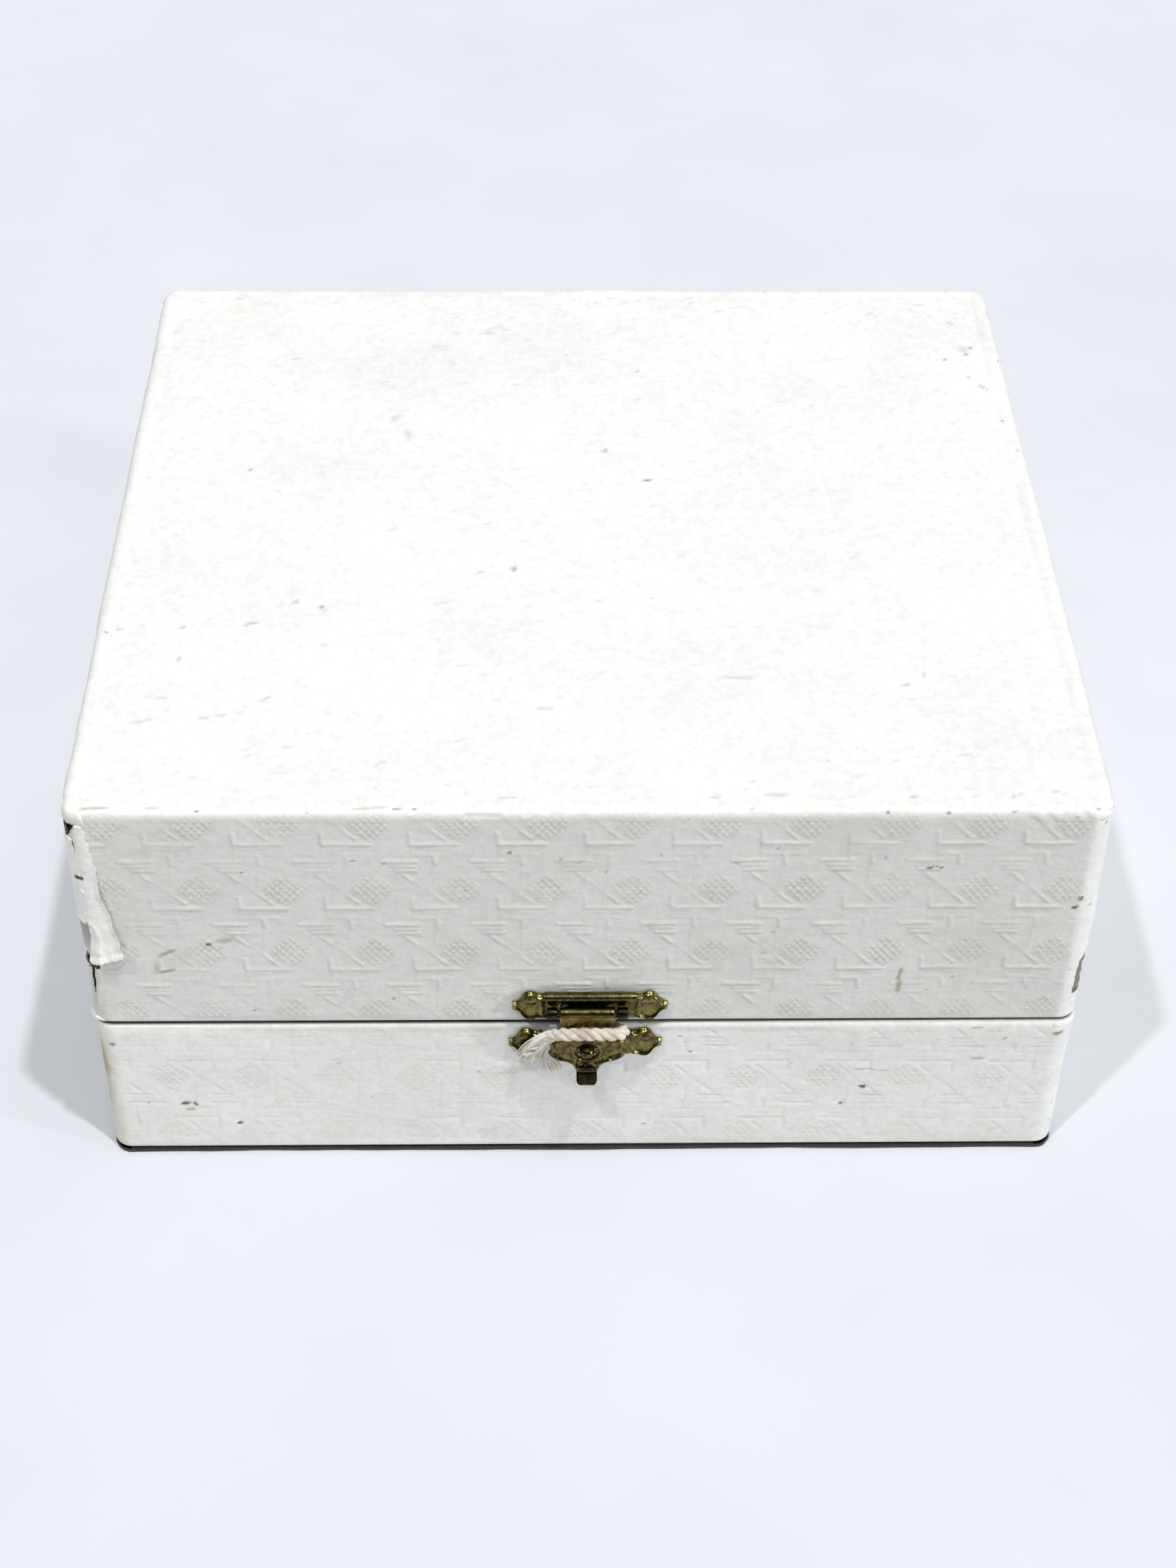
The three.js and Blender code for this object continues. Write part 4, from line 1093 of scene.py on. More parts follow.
def lid_holes(u, up):
    """Where the lid's skin is torn away, at the two front corners, before torn_course."""
    notch = (np.abs(u + 80.3) < 0.62 * (up - 40.1)) & inside(up, 40.1, 43.8)
    low_right = inside(u, 78.4 + 0.9 * np.maximum(up - 13.2, 0), 82.8) & inside(up, 5.6, 16.8)
    torn = notch | low_right
    for across, along in TEARS:
        torn |= inside(u, *across) & inside(up, *along)
    return torn


def corners_rubbed(u):
    """How much of the pattern is left near the case's corners."""
    return 0.1 + 0.9 * smooth(1.8, 4.0, from_corners(u))


def lid_displacement(u, up, relief):
    """How far the lid's skin stands out: the pattern, ripples, wrinkles, dents and folds."""
    top = LID_WALL_TOP - SEAM
    flat = smooth(top + 3.9, top + 2.6, up)
    on_wall = smooth(1.1, 2.2, up) * flat
    rubbed = np.clip(0.85 + 0.3 * rough(u, up, 7.0, 11), 0.5, 1.1) * corners_rubbed(u)
    out = RELIEF * relief * rubbed * on_wall * smooth(top + 1.4, top - 0.3, up)
    out += 0.13 * rough(u, up, 19.0, 3) * on_wall
    out += 0.035 * rough(0.4 * u, up, 1.3, 4) * on_wall
    # Wrinkles run down from the right front corner of the top.
    near_right = hump(u, 72.0, 6.5) * hump(up, top + 1.6, 1.9)
    waves = np.sin(2.1 * u + 2.3 * up + 4.5 * noise(u, up, 3.4, 9))
    out += 0.26 * near_right * waves * np.abs(noise(u, up, 2.6, 10)) * flat
    out += 0.25 * hump(u, 80.2, 2.4) * hump(up, 22.0, 4.0)
    # A pressed crease, and beside it a short squiggle, under the top edge.
    out -= 0.28 * hump(up, 45.3, 0.28) * smooth(3.4, 2.4, np.abs(u + 16.4))
    squiggle = 45.3 + 0.5 * np.sin(1.7 * (u + 9))
    out += 0.14 * hump(up, squiggle, 0.25) * smooth(1.9, 1.2, np.abs(u + 9.0))
    # The skin lifts along both sides of the split.
    from_split = np.abs(u - split_middle(up))
    lifted = hump(from_split, 0.55, 0.4) * smooth(15.5, 13.5, up)
    out += 0.42 * lifted * smooth(0.7, 2.0, up)
    # On the sides, the top's sheet is folded down over the side's and ends in a step.
    on_side = smooth(83.0, 84.5, np.abs(u - ROUND / 2 * (u > ROUND / 2)))
    fold = top - 1.8 + 0.3 * noise(u, u, 9.0, 21)
    return out + 0.2 * on_side * smooth(fold - 0.12, fold + 0.12, up) * flat


def base_displacement(u, up, relief):
    """How far the base's skin stands out: a fainter pattern, pressed in, and ripples."""
    foot = BASE_WALL_FOOT - SEAM
    on_wall = smooth(foot, foot + 1.5, up) * smooth(-1.1, -2.2, up)
    out = 0.14 * rough(u, up, 17.0, 43) + 0.035 * rough(0.4 * u, up, 1.3, 44)
    worn = (0.65 + 0.35 * noise(u, up, 16.0, 8)) * corners_rubbed(u)
    out -= 0.8 * RELIEF * relief * worn
    leaning = 0.35 * smooth(-20, 80, u) * smooth(-9.0, -1.2, up) * smooth(84, 82, np.abs(u))
    return out * on_wall + leaning * (up < 0.4)


def way_round():
    """Places round the case, and the ends of the four pieces that the skins are made in."""
    places = [LEFT_CORNER, -FRONT_HALF, FRONT_HALF, CORNERS[0]]
    for start, length in ((SIDE_START, SIDE_HALF), (BACK_START, FRONT_HALF), (LEFT_START, SIDE_HALF)):
        places += [start, start + 2 * length, start + 2 * length + CORNER_LENGTH / 2]
    u = graded(places, [FINE] * 4 + [COARSE] * 7 + [FINE])
    ends = [LEFT_CORNER, *CORNERS[:3], ROUND + LEFT_CORNER]
    return u, [int(np.argmin(np.abs(u - end))) for end in ends]


def grid_normals(points):
    """The outward normal at each vertex of a grid that runs all the way round."""
    across = np.gradient(points, axis=1)
    across[:, 0] = across[:, -1] = points[:, 1] - points[:, -2]
    upwards = np.gradient(points, axis=0)
    normals = np.cross(across, upwards)
    return normals / np.linalg.norm(normals, axis=2)[..., None]


def torn_rim(quads, rows, columns):
    """The directed edges where a torn grid ends, apart from the grid's own border."""
    edges = set()
    for quad in quads.tolist():
        for a, b in zip(quad, quad[1:] + quad[:1]):
            if (b, a) in edges:
                edges.remove((b, a))
            else:
                edges.add((a, b))

    def on_border(k):
        return k < columns or k >= (rows - 1) * columns or k % columns in (0, columns - 1)

    return sorted((a, b) for a, b in edges if not (on_border(a) and on_border(b)))


def skin_mesh(name, points, normals, tint, hole):
    """One piece of a skin. Where it is torn, its edge is given the thickness of the paper."""
    rows, columns = points.shape[:2]
    vertices, tints, outward = (a.reshape(-1, 3) for a in (points, tint, normals))
    faces = grid_faces(rows, columns)[~hole[:-1, :-1].ravel()]
    rim = torn_rim(faces, rows, columns) if hole.any() else []
    if rim:
        ends = sorted({k for edge in rim for k in edge})
        inner = {k: len(vertices) + i for i, k in enumerate(ends)}
        vertices = np.concatenate([vertices, vertices[ends] - PAPER * outward[ends]])
        tints = np.concatenate([tints, tints[ends]])
        outward = np.concatenate([outward, outward[ends]])
        walls = np.array([(b, a, inner[a], inner[b]) for a, b in rim])
        faces = np.concatenate([faces, walls])
    used = np.unique(faces)
    number = np.zeros(len(vertices), int)
    number[used] = np.arange(len(used))
    return fast_mesh(name, vertices[used], number[faces], tints[used], outward[used])


def make_skin(part, section, heights, pattern, tone, pressed, displacement, holes, seed):
    """The leatherette on one half of the case, in four pieces that meet along its corners."""
    u, ends = way_round()
    U, T = np.meshgrid(u, heights)
    signed = np.where(U > LEFT_START, U - ROUND, U)
    up = T - SEAM
    hole = holes(signed, up) if holes else np.zeros(U.shape, bool)
    moved = torn_course(signed, up) if holes else np.zeros(U.shape)
    signed = signed + moved
    relief = emboss(signed, up, **pattern)
    out = displacement(signed, up, relief)
    out[:, -1] = out[:, 0]
    points = section.place(U + moved, T, out)
    normals = grid_normals(points)
    tint = wall_tint(signed, up, relief, tone, pressed, seed)
    for side, first, last in zip(("front", "right", "back", "left"), ends[:-1], ends[1:]):
        here = slice(first, last + 1)
        name = f"{part}_cover_{side}"
        mesh = skin_mesh(name, points[:, here], normals[:, here], tint[:, here], hole[:, here])
        piece(name, mesh, LEATHERETTE, part, (f"{part}_wrap",))


def lid_rows():
    """Heights along the lid's section, closer together round its edges."""
    wall_foot = LID_RIM + RIM_RADIUS
    end = LID_WALL_TOP + TOP_EDGE_RADIUS * math.pi / 2
    last = end + TOP_FLAT_INSET - TOP_EDGE_RADIUS
    places = (LID_SECTION.t[0], wall_foot - TURNED, wall_foot, LID_WALL_TOP, end, last)
    return graded(places, (1.8, 0.28, FINE, FINE, 0.45))


def base_rows():
    """The same for the base."""
    wall_top = BASE_RIM - RIM_RADIUS
    edge = BASE_WALL_FOOT - BOTTOM_EDGE_RADIUS * math.pi / 2
    ends = (BASE_SECTION.t[0], BASE_SECTION.t[-1])
    places = (ends[0], edge, BASE_WALL_FOOT, wall_top, wall_top + TURNED, ends[1])
    return graded(places, (2.2, 0.2, FINE, 0.28, 1.8))


def make_lid_top():
    """The flat of the lid's top: the pattern almost rubbed away, with small scuffs."""
    overlap = 0.35
    reach_x = HALF_X - TOP_FLAT_INSET + overlap
    reach_y = HALF_Y - TOP_FLAT_INSET + overlap
    x, y = spaced(-reach_x, reach_x, TOP_SPACING), spaced(-reach_y, reach_y, TOP_SPACING)
    X, Y = np.meshgrid(x, y)
    edge_length = TOP_EDGE_RADIUS * (math.pi / 2 - 1)
    up = LID_WALL_TOP - SEAM + edge_length + Y + HALF_Y
    from_edge = np.minimum(reach_x - np.abs(X), reach_y - np.abs(Y))
    rubbed = 0.2 + 0.5 * smooth(-0.2, 0.7, rough(X, Y, 31.0, 90)) + 0.4 * smooth(-55, -74, Y)
    rise = 0.35 * RELIEF * emboss(X, up, **LID_PATTERN) * rubbed * smooth(0.4, 3.0, from_edge)
    rise += 0.22 * rough(X, Y, 38.0, 91) * smooth(1, 14, from_edge)
    rise += 0.02 * rough(X, Y, 1.8, 92) * smooth(1, 3, from_edge)
    sunk = 0.012 * (1 - smooth(overlap, overlap + 0.4, from_edge))
    points = np.stack([X, Y, TOP + rise - sunk], -1)
    # The top's tone is painted light: brighter, for the light that falls on it from above.
    tint = np.ones((*X.shape, 3)) * TOP_LIGHT_TONE
    dice = random.Random(17)
    for _ in range(TOP_SPECKS):
        place = (dice.uniform(-reach_x, reach_x), dice.uniform(-reach_y, reach_y))
        if dice.random() < 0.45:
            place = (place[0], reach_y * dice.choice((-1, 1)) * (1 - abs(dice.gauss(0, 0.12))))
        shape = (dice.uniform(0.3, 1.5), dice.uniform(0.22, 0.4), dice.gauss(0, 20))
        stained(tint, X, Y, (*place, *shape, GREY, dice.uniform(0.06, 0.5), 0.7))
    for mark in TOP_MARKS:
        stained(tint, X, Y, mark)
    name = "lid_cover_top"
    vertices, tints = points.reshape(-1, 3), tint.reshape(-1, 3)
    mesh = fast_mesh(name, vertices, grid_faces(*X.shape), tints)
    piece(name, mesh, LEATHERETTE, "lid", ("lid_wrap",))


# The tones are painted light; the base's 0.05 is painted shade in its pressed-in strokes.
lid_look, base_look = (LID_PATTERN, LID_SHADE_TONE, 0.0), (BASE_PATTERN, BASE_LIGHT_TONE, 0.05)
make_skin("lid", LID_SECTION, lid_rows(), *lid_look, lid_displacement, lid_holes, 5)
make_skin("base", BASE_SECTION, base_rows(), *base_look, base_displacement, None, 6)
make_lid_top()

# ---------- Peeled and folded paper at the lid's corners ----------


def paper_patch(name, u, up, out, thickness, tint, material=LEATHERETTE_PLAIN):
    """A loose piece over the lid, from grids of places and how far it stands out."""
    outer, inner = (LID_SECTION.place(u, up + SEAM, out - depth) for depth in (0, thickness))
    vertices, quads = shell(outer, inner)
    both_sides = np.concatenate([np.clip(tint, 0.01, 1).reshape(-1, 3)] * 2)
    mesh = fast_mesh(name, vertices, quads, both_sides)
    mesh.set_sharp_from_angle(angle=math.radians(50))
    piece(name, mesh, material, "lid")


def white(grid):
    """A tint that changes nothing, for each place of a grid."""
    return np.ones((*grid.shape, 3))


def unit_grid(rows, columns):
    """Two grids that run from 0 to 1: the first down the rows, the second along the columns."""
    return np.meshgrid(np.linspace(0, 1, rows), np.linspace(0, 1, columns), indexing="ij")


# The strip that hangs over the front: (up, u of its left edge, u of its right edge).
STRIP = [
    (43.6, -77.9, -76.9), (41.5, -78.6, -76.6), (38.2, -79.6, -76.2), (35.2, -80.5, -75.8),
    (29.1, -81.0, -75.4), (24.4, -80.5, -74.3), (22.6, -78.6, -74.1), (20.0, -78.1, -73.7),
    (15.8, -78.5, -73.0),
]
# The layer over its left part, which wraps round the corner.
OUTER_STRIP = [
    (40.6, -81.2, -78.7), (38.0, -82.0, -78.6), (34.0, -82.4, -78.3), (28.0, -82.4, -78.2),
    (23.0, -81.8, -78.4),
]


# The dull inner side of the strip, where it is folded back under its own lower end.
INNER_STRIP = [
    (23.6, -81.6, -78.3), (21.0, -81.4, -78.0), (18.5, -80.8, -77.8), (16.4, -79.9, -77.6),
    (15.4, -78.9, -77.5),
]


def strip_grid(outline, rows, columns, seed):
    """Places over an outline, whose edges are torn, and the shares down and across it."""
    down, across = unit_grid(rows, columns)
    up, left, right = np.array(outline).T
    place = up[0] + (up[-1] - up[0]) * down
    left = np.interp(-place, -up, left) + 0.22 * rough(place, place, 1.5, seed, 4)
    right = np.interp(-place, -up, right) + 0.16 * rough(place, place, 1.2, seed + 1, 4)
    return left + (right - left) * across, place, down, across


def make_peeled_strip():
    """The long strip that has come off the left corner and lies curled over the front."""
    u, up, down, across = strip_grid(STRIP, 130, 44, 61)
    torn = 0.5 * rough(9 * across, 9 * across, 1.4, 63, 4) + 2.2 * (across - 0.45)
    up = up + torn * smooth(0.8, 1.0, down)
    over_skin = 0.42 * smooth(-79.4, -77.6, u)
    lift = (0.35 + 0.45 * across) * smooth(0.66, 1.0, down) ** 2
    edge = 0.26 * smooth(0.8, 1.0, across) * smooth(0.3, 0.5, down)
    fold = 0.2 * hump(across, 0.42 - 0.15 * down, 0.09) * smooth(0.1, 0.3, down)
    lip = 0.5 * smooth(0.955, 1.0, down)
    out = -0.08 + over_skin + lift + edge + fold + lip + 0.12 * rough(u, up, 2.4, 64, 4)
    # Painted shade: a small hole through the strip is painted as a dark spot, not cut.
    hole = np.hypot((u + 78.3) / 0.6, (up - 32.8) / 0.42) / (1 + 0.5 * rough(u, up, 0.7, 65))
    tint = darkened(white(u), smooth(1.15, 0.75, hole), 0.97)
    # Painted shadow: a thin dark line along the strip's raised right edge.
    rim = smooth(0.045, 0.0, 1 - across) * smooth(0.3, 0.45, down)
    tint = darkened(tint, rim, (0.45, 0.5, 0.6))
    paper_patch("lid_peeled_strip", u, up, out, 0.26, tint)


def make_outer_strip():
    """A second, shorter layer that wraps the corner and ends in a straight cut."""
    u, up, down, across = strip_grid(OUTER_STRIP, 90, 30, 66)
    out = 0.26 + 0.2 * smooth(0.55, 1.0, across) + 0.13 * rough(u, up, 2.0, 67, 4)
    out += 0.18 * smooth(0.9, 1.0, down)
    # Painted shade: the same small hole, painted as a dark spot.
    hole = np.hypot((u + 78.6) / 0.55, (up - 32.9) / 0.40)
    tint = darkened(white(u), smooth(1.2, 0.8, hole), 0.97)
    # Painted shadow: a dark line along the straight cut at its lower end.
    tint = darkened(tint, smooth(0.02, 0.0, 1 - down), (0.55, 0.6, 0.68))
    paper_patch("lid_outer_strip", u, up, out, 0.24, tint)


def make_inner_strip():
    """The folded part, brownish grey, with a paler edge."""
    u, up, down, across = strip_grid(INNER_STRIP, 50, 26, 68)
    out = 0.06 + 0.16 * across + 0.08 * rough(u, up, 1.6, 69, 3)
    shade = 0.42 + 0.3 * smooth(0.3, 1.0, down) + 0.25 * smooth(0.25, 0.0, across)
    tint = shade[..., None] * np.array([1.0, 0.97, 0.88])
    paper_patch("lid_inner_strip", u, up, out, 0.16, tint)


def make_corner_cap(side, reach, drop, lift, name):
    """The fold of the top's sheet over a front corner, a little proud of the walls."""
    down, across = unit_grid(50, 84)
    q = 2 * across - 1
    u = side * CORNERS[0] + reach * q * (1 - 0.25 * down)
    edge = 0.22 * rough(30 * q, 30 * q, 3.0, 71 + side) + 0.3 * q * side
    foot = LID_WALL_TOP - SEAM - drop + edge
    up = foot + (drop + 3.9 - edge) * down
    fade = smooth(1.0, 0.85 - 0.5 * down, np.abs(q)) * smooth(0.9, 0.3, down)
    creases = 0.06 * np.sin(7 * q + 6 * down) * hump(down, 0.55, 0.3)
    out = -0.1 + fade * (lift + creases + 0.09 * rough(u, up, 1.5, 72))
    # Painted shade on the cap's lower, front-facing part, and a painted shadow line along its lower edge.
    cap_shade = (0.25 * smooth(0.55, 0.35, down) + 0.75 * smooth(0.1, 0.0, down)) * fade
    paper_patch(name, u, up, out, 0.3, darkened(white(u), cap_shade, (0.35, 0.4, 0.5)))


def make_lifted_flap():
    """A small flap that stands off the left corner just above the seam."""
    down, across = unit_grid(16, 40)
    u = -81.3 + 3.6 * across
    up = 0.45 + 0.85 * down * (1 - 0.75 * across) + 0.3 * (1 - across) * down
    out = 0.08 + 0.65 * (1 - across) * np.sin(math.pi * down) + 0.1 * rough(u, up, 1.0, 81)
    paper_patch("lid_corner_flap", u, up, out, 0.16, white(u))


def make_torn_board(name, low_u, high_u, low_up, high_up):
    """The rough face of the board behind a tear, with painted shade where it lies deep: in the gap at its
    top, in the split and at the corner's limb.
    """
    rows = round((high_up - low_up) / 0.22)
    columns = round((high_u - low_u) / 0.16)
    down, across = unit_grid(rows, columns)
    u, up = low_u + (high_u - low_u) * across, low_up + (high_up - low_up) * down
    out = -0.58 + 0.16 * rough(u, up, 1.2, 83, 4)
    out += 0.5 * smooth(78.6, 79.2, u) * smooth(5.4, 6.2, up) * smooth(17.0, 14.4, up)
    tint = 0.95 * white(u)
    # Painted shade: the board is darkened where it lies deep in the gap at the top, in the split and at
    # the corner's limb.
    deep = smooth(39.0, 40.5, up) * smooth(-76.5, -77.5, u)
    split_shade = smooth(0.6, 0.35, np.abs(u - split_middle(up))) * smooth(15.4, 14.2, up)
    limb_shade = smooth(-81.2, -82.4, u + 0.5 * rough(u, up, 1.0, 84)) * smooth(24.0, 20.0, up)
    for cover in (0.98 * deep, 0.3 * split_shade, 0.48 * limb_shade):
        tint = darkened(tint, cover, (0.95, 1.0, 1.05))
    paper_patch(name, u, up, out, 0.2, tint, TORN_BOARD)


make_torn_board("lid_torn_board_left", -85.5, -76.5, 0.9, 44.0)
make_torn_board("lid_torn_board_right", 78.2, 83.6, 4.2, 44.0)
make_peeled_strip()
make_outer_strip()
make_inner_strip()
make_corner_cap(-1, 3.4, 1.0, 0.2, "lid_corner_cap_left")
make_corner_cap(1, 4.0, 0.4, 0.12, "lid_corner_cap_right")
make_lifted_flap()

# ---------- The clasp ----------

PIN_UP, PIN_OUT = 4.6, 2.3
KNUCKLE_RADIUS = 0.99
HOLE = (0.0, -3.4)  # the middle of the hole in the hasp's shield
PLATE_OUT, PLATE_THICKNESS = 0.3, 0.5
PLATE_HALF_HEIGHT, PLATE_TIP = 2.95, 12.6
# Half a plate's outline from its outer top corner round to its tip, as (from its middle, up).
PLATE_OUTLINE = [
    (7.1, PLATE_HALF_HEIGHT), (7.7, 2.55), (8.4, 2.65), (9.2, 3.1), (10.0, 3.15), (10.7, 2.55),
    (11.2, 1.6), (11.8, 0.95), (PLATE_TIP, 0.85),
]


def metal(name, shape, material, body, replaces=(), sharp=50):
    """A piece of brass from its (vertices, faces)."""
    return closed(name, *shape, material, body, "brass", replaces, sharp)


def pebbles(x, up, size, seed):
    """Hammered pebbles from -1 to 1."""
    return 0.6 * noise(x, up, size, seed) + 0.4 * noise(up + 5, x - 3, 0.62 * size, seed + 1)


def make_plate(name, node, body, middle, top, seed):
    """A stamped plate whose flared ends have a raised rim, a lobe and a sunken, grainy field."""
    outline = smooth_path(PLATE_OUTLINE, 90)
    x = joined(spaced(0, 7.0, 0.25), spaced(7.0, 12.55, 0.11))
    x = np.concatenate([-x[:0:-1], x])
    low, high = (np.interp(np.abs(x), *outline.T, left=half) for half in (PLATE_HALF_HEIGHT, top))
    share = np.sin(np.linspace(-1, 1, 61) * math.pi / 2) * 0.5 + 0.5
    X = np.repeat(x[None], len(share), 0)
    UP = -low + (high + low) * share[:, None]
    from_edge = np.min([UP + low, high - UP, PLATE_TIP - np.abs(X)], axis=0)
    rim = 0.42 * hump(from_edge, 0.5, 0.3)
    rounded = 0.3 * (1 - smooth(0, 0.32, from_edge))
    flare = smooth(7.2, 8.4, np.abs(X))
    lobe = 0.5 * hump(np.abs(X), 9.6, 1.2) * hump(UP, 1.5, 0.8) * flare
    fold = 0.35 * hump(np.abs(X), 7.9, 0.45) * smooth(2.9, 2.0, np.abs(UP))
    field = 0.07 * pebbles(X, UP, 0.62, seed) * smooth(0.5, 0.9, from_edge)
    face = PLATE_OUT + PLATE_THICKNESS + (rim - 0.1) * flare + lobe + fold + field - rounded
    sides = [grid_on_wall(X + middle[0], UP + middle[1], out) for out in (face, PLATE_OUT)]
    metal(name, shell(*sides), BRASS, body, (node,))


def bar(start, end, up, out, radius, sides=20, rounding=0.25, wall=-1):
    """A round bar along X, from start to end, whose ends are rounded over."""
    length = abs(end - start)
    step = rounding / length
    ends = step * (1 - np.cos(np.linspace(0, math.pi / 2, 5)))
    along = np.concatenate([ends, np.linspace(step, 1 - step, 14)[1:-1], 1 - ends[::-1]])
    from_end = np.minimum(along, 1 - along) * length
    inset = np.clip(1 - from_end / rounding, 0, 1)
    radii = radius - rounding * (1 - np.sqrt(1 - inset**2))
    return tube(grid_on_wall(start + (end - start) * along, up, out, wall), radii, sides)


def make_lid_plate():
    make_plate("lid_plate", "clasp_lid_plate", "lid", (0.4, 4.55), PLATE_HALF_HEIGHT, 201)
    # The rib is partly tarnished and partly painted shade; the knuckles are painted shade, nearly black.
    metal("lid_plate_rib", bar(-7.3, 8.1, 6.95, 1.0, 0.75), TARNISH_AND_SHADE_BRASS, "lid", sharp=60)
    knuckles = [bar(s * 4.85, s * 6.55, PIN_UP, PIN_OUT, KNUCKLE_RADIUS) for s in (-1, 1)]
    metal("lid_plate_knuckles", merged(knuckles), SHADED_BRASS, "lid", sharp=60)


def make_base_plate():
    make_plate("base_plate", "clasp_base_plate", "base", (-0.25, -4.05), 1.85, 207)


def flat_strip(path, half_widths, thickness, columns, crown=0.0):
    """A bent strip of metal: a path of (up, out), and half of the width at each of its points."""
    along = directions(path)
    normal = np.stack([along[:, 1], -along[:, 0]], 1)
    across = np.linspace(-1, 1, columns)
    X = np.outer(half_widths, across)
    from_edge = np.asarray(half_widths)[:, None] - np.abs(X)
    rounding = 0.1 * (1 - smooth(0, 0.18, from_edge))
    rise = crown * (1 - across**2)
    sides = []
    for away in (rise - rounding, rounding - thickness):
        up, out = (path[:, k : k + 1] + normal[:, k : k + 1] * away for k in (0, 1))
        sides.append(grid_on_wall(X, up, out))
    return shell(*sides)


# Half of the hasp's shield, from its neck round to its foot, as (from the middle, up).
SHIELD_OUTLINE = [
    (0.0, -0.15), (3.0, -0.3), (4.4, -0.5), (5.6, -0.9), (6.25, -1.8), (5.85, -2.9),
    (6.3, -4.1), (5.2, -5.15), (3.4, -5.9), (2.3, -6.9), (1.65, -8.15), (0.0, -8.3),
]
HOLE_RADIUS = 1.85
HASP_OUT, HASP_THICKNESS = 2.8, 0.5
# Paths as (up, out). The flap's half widths are (up, half width), the tab's (share, half width).
FLAP_PATH = [(4.5, 3.3), (3.6, 3.36), (2.7, 3.3), (1.4, 3.28), (-0.6, 3.3), (-1.4, 3.26)]
FLAP_HALF_WIDTHS = [(-1.4, 3.3), (-0.4, 3.0), (1.9, 3.0), (2.45, 4.1), (2.9, 4.45), (4.5, 4.45)]
TAB_PATH = [(-7.2, 3.34), (-8.0, 3.34), (-8.45, 3.5), (-8.95, 4.05), (-9.45, 4.72), (-9.62, 4.98)]
TAB_HALF_WIDTHS = [(0, 1.75), (0.3, 1.7), (0.8, 1.68), (0.93, 1.5), (1.0, 1.05)]
BALL_OUT, BALL_RADIUS = 3.3, 1.24


def make_shield():
    """The hasp's scalloped shield: a ring of grainy metal round the hole, with a rolled rim."""
    half = smooth_path(SHIELD_OUTLINE, 120)
    outline = np.concatenate([half, half[-2:0:-1] * (-1, 1)])
    angles = np.arctan2(outline[:, 1] - HOLE[1], outline[:, 0])
    order = np.argsort(angles)
    reach = np.hypot(outline[:, 0], outline[:, 1] - HOLE[1])
    count = 240
    way = np.linspace(-math.pi, math.pi, count, endpoint=False)
    edge = np.interp(way, angles[order], reach[order], period=2 * math.pi)
    share = (1 - np.cos(np.linspace(0, math.pi, 31))) / 2
    R = HOLE_RADIUS + (edge - HOLE_RADIUS) * share[:, None]
    X, UP = R * np.cos(way), HOLE[1] + R * np.sin(way)
    from_rim, from_hole = edge - R, R - HOLE_RADIUS
    rise = 0.32 * hump(from_rim, 0.45, 0.28) + 0.20 * hump(from_hole, 0.35, 0.25)
    field = smooth(0.6, 1.1, from_rim) * smooth(0.5, 0.9, from_hole)
    rise += 0.17 * pebbles(X, UP, 0.7, 214) * field - 0.05 * field
    rise -= 0.26 * (1 - smooth(0, 0.28, np.minimum(from_rim, from_hole)))
    rise += 0.25 * hump(np.abs(X), 4.6, 0.9) * hump(UP, -2.6, 1.7)
    front = grid_on_wall(X, UP, HASP_OUT + HASP_THICKNESS + rise)
    back = grid_on_wall(X, UP, HASP_OUT)[[-1, 0]]
    shape = loft(np.concatenate([front, back, front[:1]]), capped=False)
    metal("hasp_shield", shape, PEBBLED_BRASS, "hasp", ("clasp_hasp",))


def make_hasp_body():
    """The barrel round the pin, and the flap and neck that hang from it."""
    barrel = bar(-4.45, 4.45, PIN_UP, PIN_OUT, KNUCKLE_RADIUS, 28)
    # The barrel's darker brass is partly tarnish and partly painted shade.
    metal("hasp_barrel", barrel, TARNISH_AND_SHADE_BRASS, "hasp", sharp=60)
    path = smooth_path(FLAP_PATH, 48)
    half_widths = np.interp(path[:, 0], *zip(*FLAP_HALF_WIDTHS))
    metal("hasp_flap", flat_strip(path, half_widths, 0.46, 34, 0.03), BRASS, "hasp")


def make_tab():
    """The finger tab: a strip that is bent outwards and ends in a rounded lip."""
    path = smooth_path(TAB_PATH, 40)
    half_widths = np.interp(np.linspace(0, 1, len(path)), *zip(*TAB_HALF_WIDTHS))
    # The tab's nearly black brass is painted shade.
    metal("hasp_tab", flat_strip(path, half_widths, 0.48, 26, 0.12), SHADED_BRASS, "hasp")


def make_stud():
    """The ball on a stem that stands in the shield's hole."""
    ball = []
    for angle in np.linspace(0, math.pi, 19):
        radius = max(BALL_RADIUS * math.sin(angle), 0.02)
        ball.append((BALL_OUT - BALL_RADIUS * math.cos(angle), radius))
    above_stem = [p for p in ball if p[0] > BALL_OUT or p[1] > 0.6]
    out, radius = np.array([(0.75, 0.9), (0.95, 0.62), (1.9, 0.58), *above_stem]).T
    stud = tube(grid_on_wall(*HOLE, out), radius, 32)
    # The stud's darker brass is partly tarnish and partly painted shade.
    metal("stud", stud, TARNISH_AND_SHADE_BRASS, "base", ("clasp_stud",), 60)


def make_pin():
    pin = bar(-6.55, 6.55, PIN_UP, PIN_OUT, 0.44, 16, 0.12)
    metal("clasp_pin", pin, SHADED_BRASS, "lid", ("clasp_hinge_pin",), 60)


make_lid_plate()
make_base_plate()
make_hasp_body()
make_shield()
make_tab()
make_stud()
make_pin()

# ---------- Hinges at the back ----------

HINGE_PLACES = (-46.0, 46.0)
HINGE_LEAF = (16.0, 9.0)
HINGE_PIN_OUT = 1.8
HINGE_KNUCKLE_RADIUS = 1.48
NAIL_X, NAIL_RADIUS, NAIL_RISE = 5.0, 1.3, 0.45


